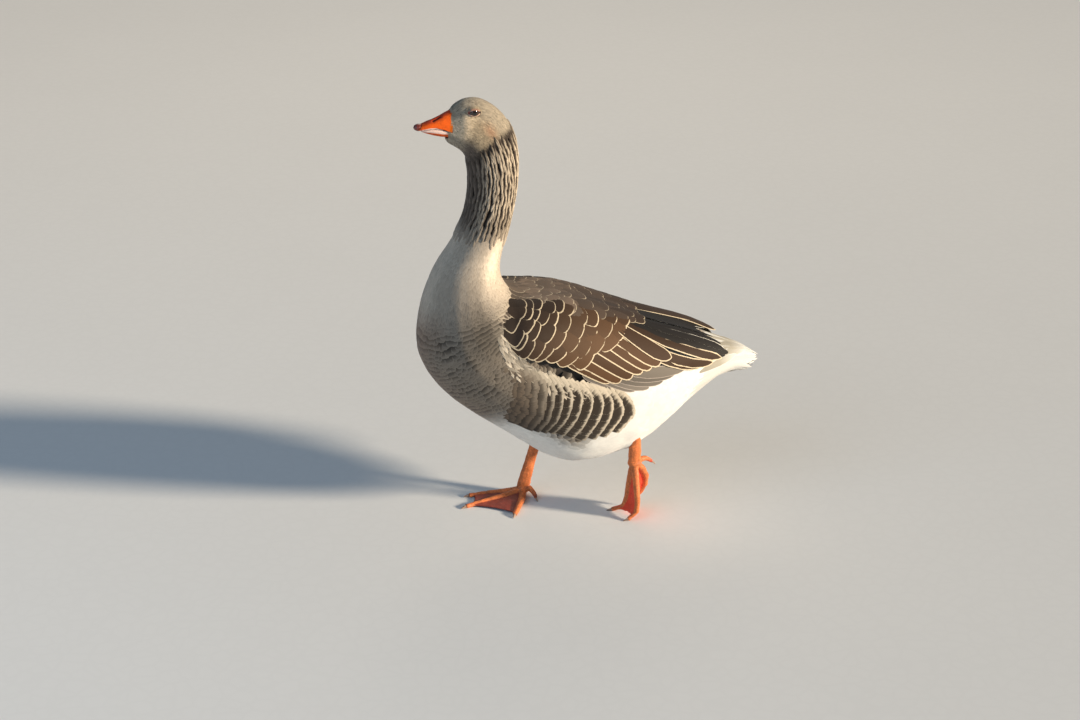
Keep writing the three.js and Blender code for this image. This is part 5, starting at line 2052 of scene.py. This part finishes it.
class GOOSE_OT_wings(Operator):
    """Coverts and flight feathers of both folded wings"""

    bl_idname = "goose.wings"
    bl_label = "Wings"

    def execute(self, context):
        for seed, (name, side) in zip((61, 71), SIDES):
            groups = wing_groups(side, seed)
            coat_piece(f"wing_feathers_{name}", groups, "plumage_wing", firm_plumage(), large=True)
        return {"FINISHED"}


class GOOSE_OT_tail(Operator):
    """White feathers of the tail"""

    bl_idname = "goose.tail"
    bl_label = "Tail"

    def execute(self, context):
        coat_piece("tail_feathers", tail_groups(31), "plumage_pale", firm_plumage(), large=True)
        return {"FINISHED"}


FLOOR_HALF = 6.0
SENSOR_WIDTH = 36  # of the camera, in millimetres
VIEW_END = 50  # metres from the camera that it sees
KEY_FROM = (2.62, -1.55, 0.90)  # the key light comes from this way
KEY_ANGLE = math.radians(7)  # how wide the key light looks from the goose
WARM_TONE = (1.0, 0.86, 0.66)
COOL_TONE = (0.55, 0.76, 1.0)
SKY_TONE = (0.56, 0.76, 1.0, 1)
FILL_PLACE = (-2.6, -1.5, 2.2)
FILL_SIZE = 2.6
RIM_PLACE = (0.6, 2.6, 2.3)
RIM_SIZE = 1.2
LAMP_AIM = (0.0, 0.0, 0.3)  # the fill and the rim light are turned to this place


def hang_lamp(name, kind, energy, tone, way, **settings):
    """A lamp that shines a given way."""
    lamp = bpy.data.objects.new(name, bpy.data.lights.new(name, kind))
    lamp.data.energy = energy
    lamp.data.color = tone
    for label, value in settings.items():
        setattr(lamp.data, label, value)
    lamp.rotation_euler = Vector(way).to_track_quat("-Z", "Y").to_euler()
    bpy.context.scene.collection.objects.link(lamp)
    return lamp


class GOOSE_OT_stage(Operator):
    """Plain floor, lights and camera"""

    bl_idname = "goose.stage"
    bl_label = "Stage"

    def execute(self, context):
        stage = context.scene.goose_stage
        bm = bmesh.new()
        bmesh.ops.create_grid(bm, x_segments=1, y_segments=1, size=FLOOR_HALF)
        mesh = bpy.data.meshes.new("floor")
        bm.to_mesh(mesh)
        bm.free()
        material, tree, shader = new_material("floor", Roughness=0.9)
        hue_of_floor = (*stage.floor, 1.0)
        mottle = group_node(tree, mottle_group(), Color=hue_of_floor, Scale=3.0, Cells=40.0, Contrast=0.03)
        tree.links.new(mottle.outputs["Color"], shader.inputs["Base Color"])
        mesh.materials.append(material)
        floor = bpy.data.objects.new("floor", mesh)
        context.scene.collection.objects.link(floor)
        camera = bpy.data.objects.new("camera", bpy.data.cameras.new("camera"))
        camera.data.sensor_width = SENSOR_WIDTH
        camera.data.lens = stage.lens
        camera.data.clip_end = VIEW_END
        camera.location = stage.camera_place
        camera.rotation_euler = stage.camera_turn
        context.scene.collection.objects.link(camera)
        context.scene.camera = camera
        hang_lamp("key", "SUN", stage.key_power, WARM_TONE, -Vector(KEY_FROM), angle=KEY_ANGLE)
        for name, power, tone, place, size in (
            ("fill", stage.fill_power, COOL_TONE, FILL_PLACE, FILL_SIZE),
            ("rim", stage.rim_power, WARM_TONE, RIM_PLACE, RIM_SIZE),
        ):
            way = Vector(LAMP_AIM) - Vector(place)
            hang_lamp(name, "AREA", power, tone, way, size=size).location = place
        world = bpy.data.worlds.new("studio")
        world.use_nodes = True
        background = world.node_tree.nodes["Background"]
        background.inputs["Color"].default_value = SKY_TONE
        background.inputs["Strength"].default_value = stage.ambient
        context.scene.world = world
        context.scene.view_settings.view_transform = "Standard"
        return {"FINISHED"}


STEPS = (
    GOOSE_OT_skin, GOOSE_OT_eyes, GOOSE_OT_bill, GOOSE_OT_claws, GOOSE_OT_head_coat, GOOSE_OT_neck_coat,
    GOOSE_OT_breast_coat, GOOSE_OT_belly_coat, GOOSE_OT_tail, GOOSE_OT_flanks, GOOSE_OT_wings,
    GOOSE_OT_mantle, GOOSE_OT_stage,
)
SETTINGS = {"goose_plumage": GoosePlumage, "goose_bare_parts": GooseBareParts, "goose_stage": GooseStage}


class GOOSE_PT_panel(Panel):
    """All the pieces, in the order that they are made"""

    bl_idname = "GOOSE_PT_panel"
    bl_label = "Goose"
    bl_space_type = "VIEW_3D"
    bl_region_type = "UI"
    bl_category = "Goose"

    def draw(self, context):
        for key, kind in SETTINGS.items():
            box = self.layout.box()
            for name in kind.__annotations__:
                box.prop(getattr(context.scene, key), name)
        for step in STEPS:
            self.layout.operator(step.bl_idname)


CLASSES = (*SETTINGS.values(), *STEPS, GOOSE_PT_panel)


def register():
    for each in CLASSES:
        bpy.utils.register_class(each)
    for name, group in SETTINGS.items():
        setattr(bpy.types.Scene, name, PointerProperty(type=group))


def unregister():
    for name in SETTINGS:
        delattr(bpy.types.Scene, name)
    for each in reversed(CLASSES):
        bpy.utils.unregister_class(each)


def main():
    register()
    for step in STEPS:
        group, name = step.bl_idname.split(".")
        getattr(getattr(bpy.ops, group), name)()


if __name__ == "__main__":
    main()
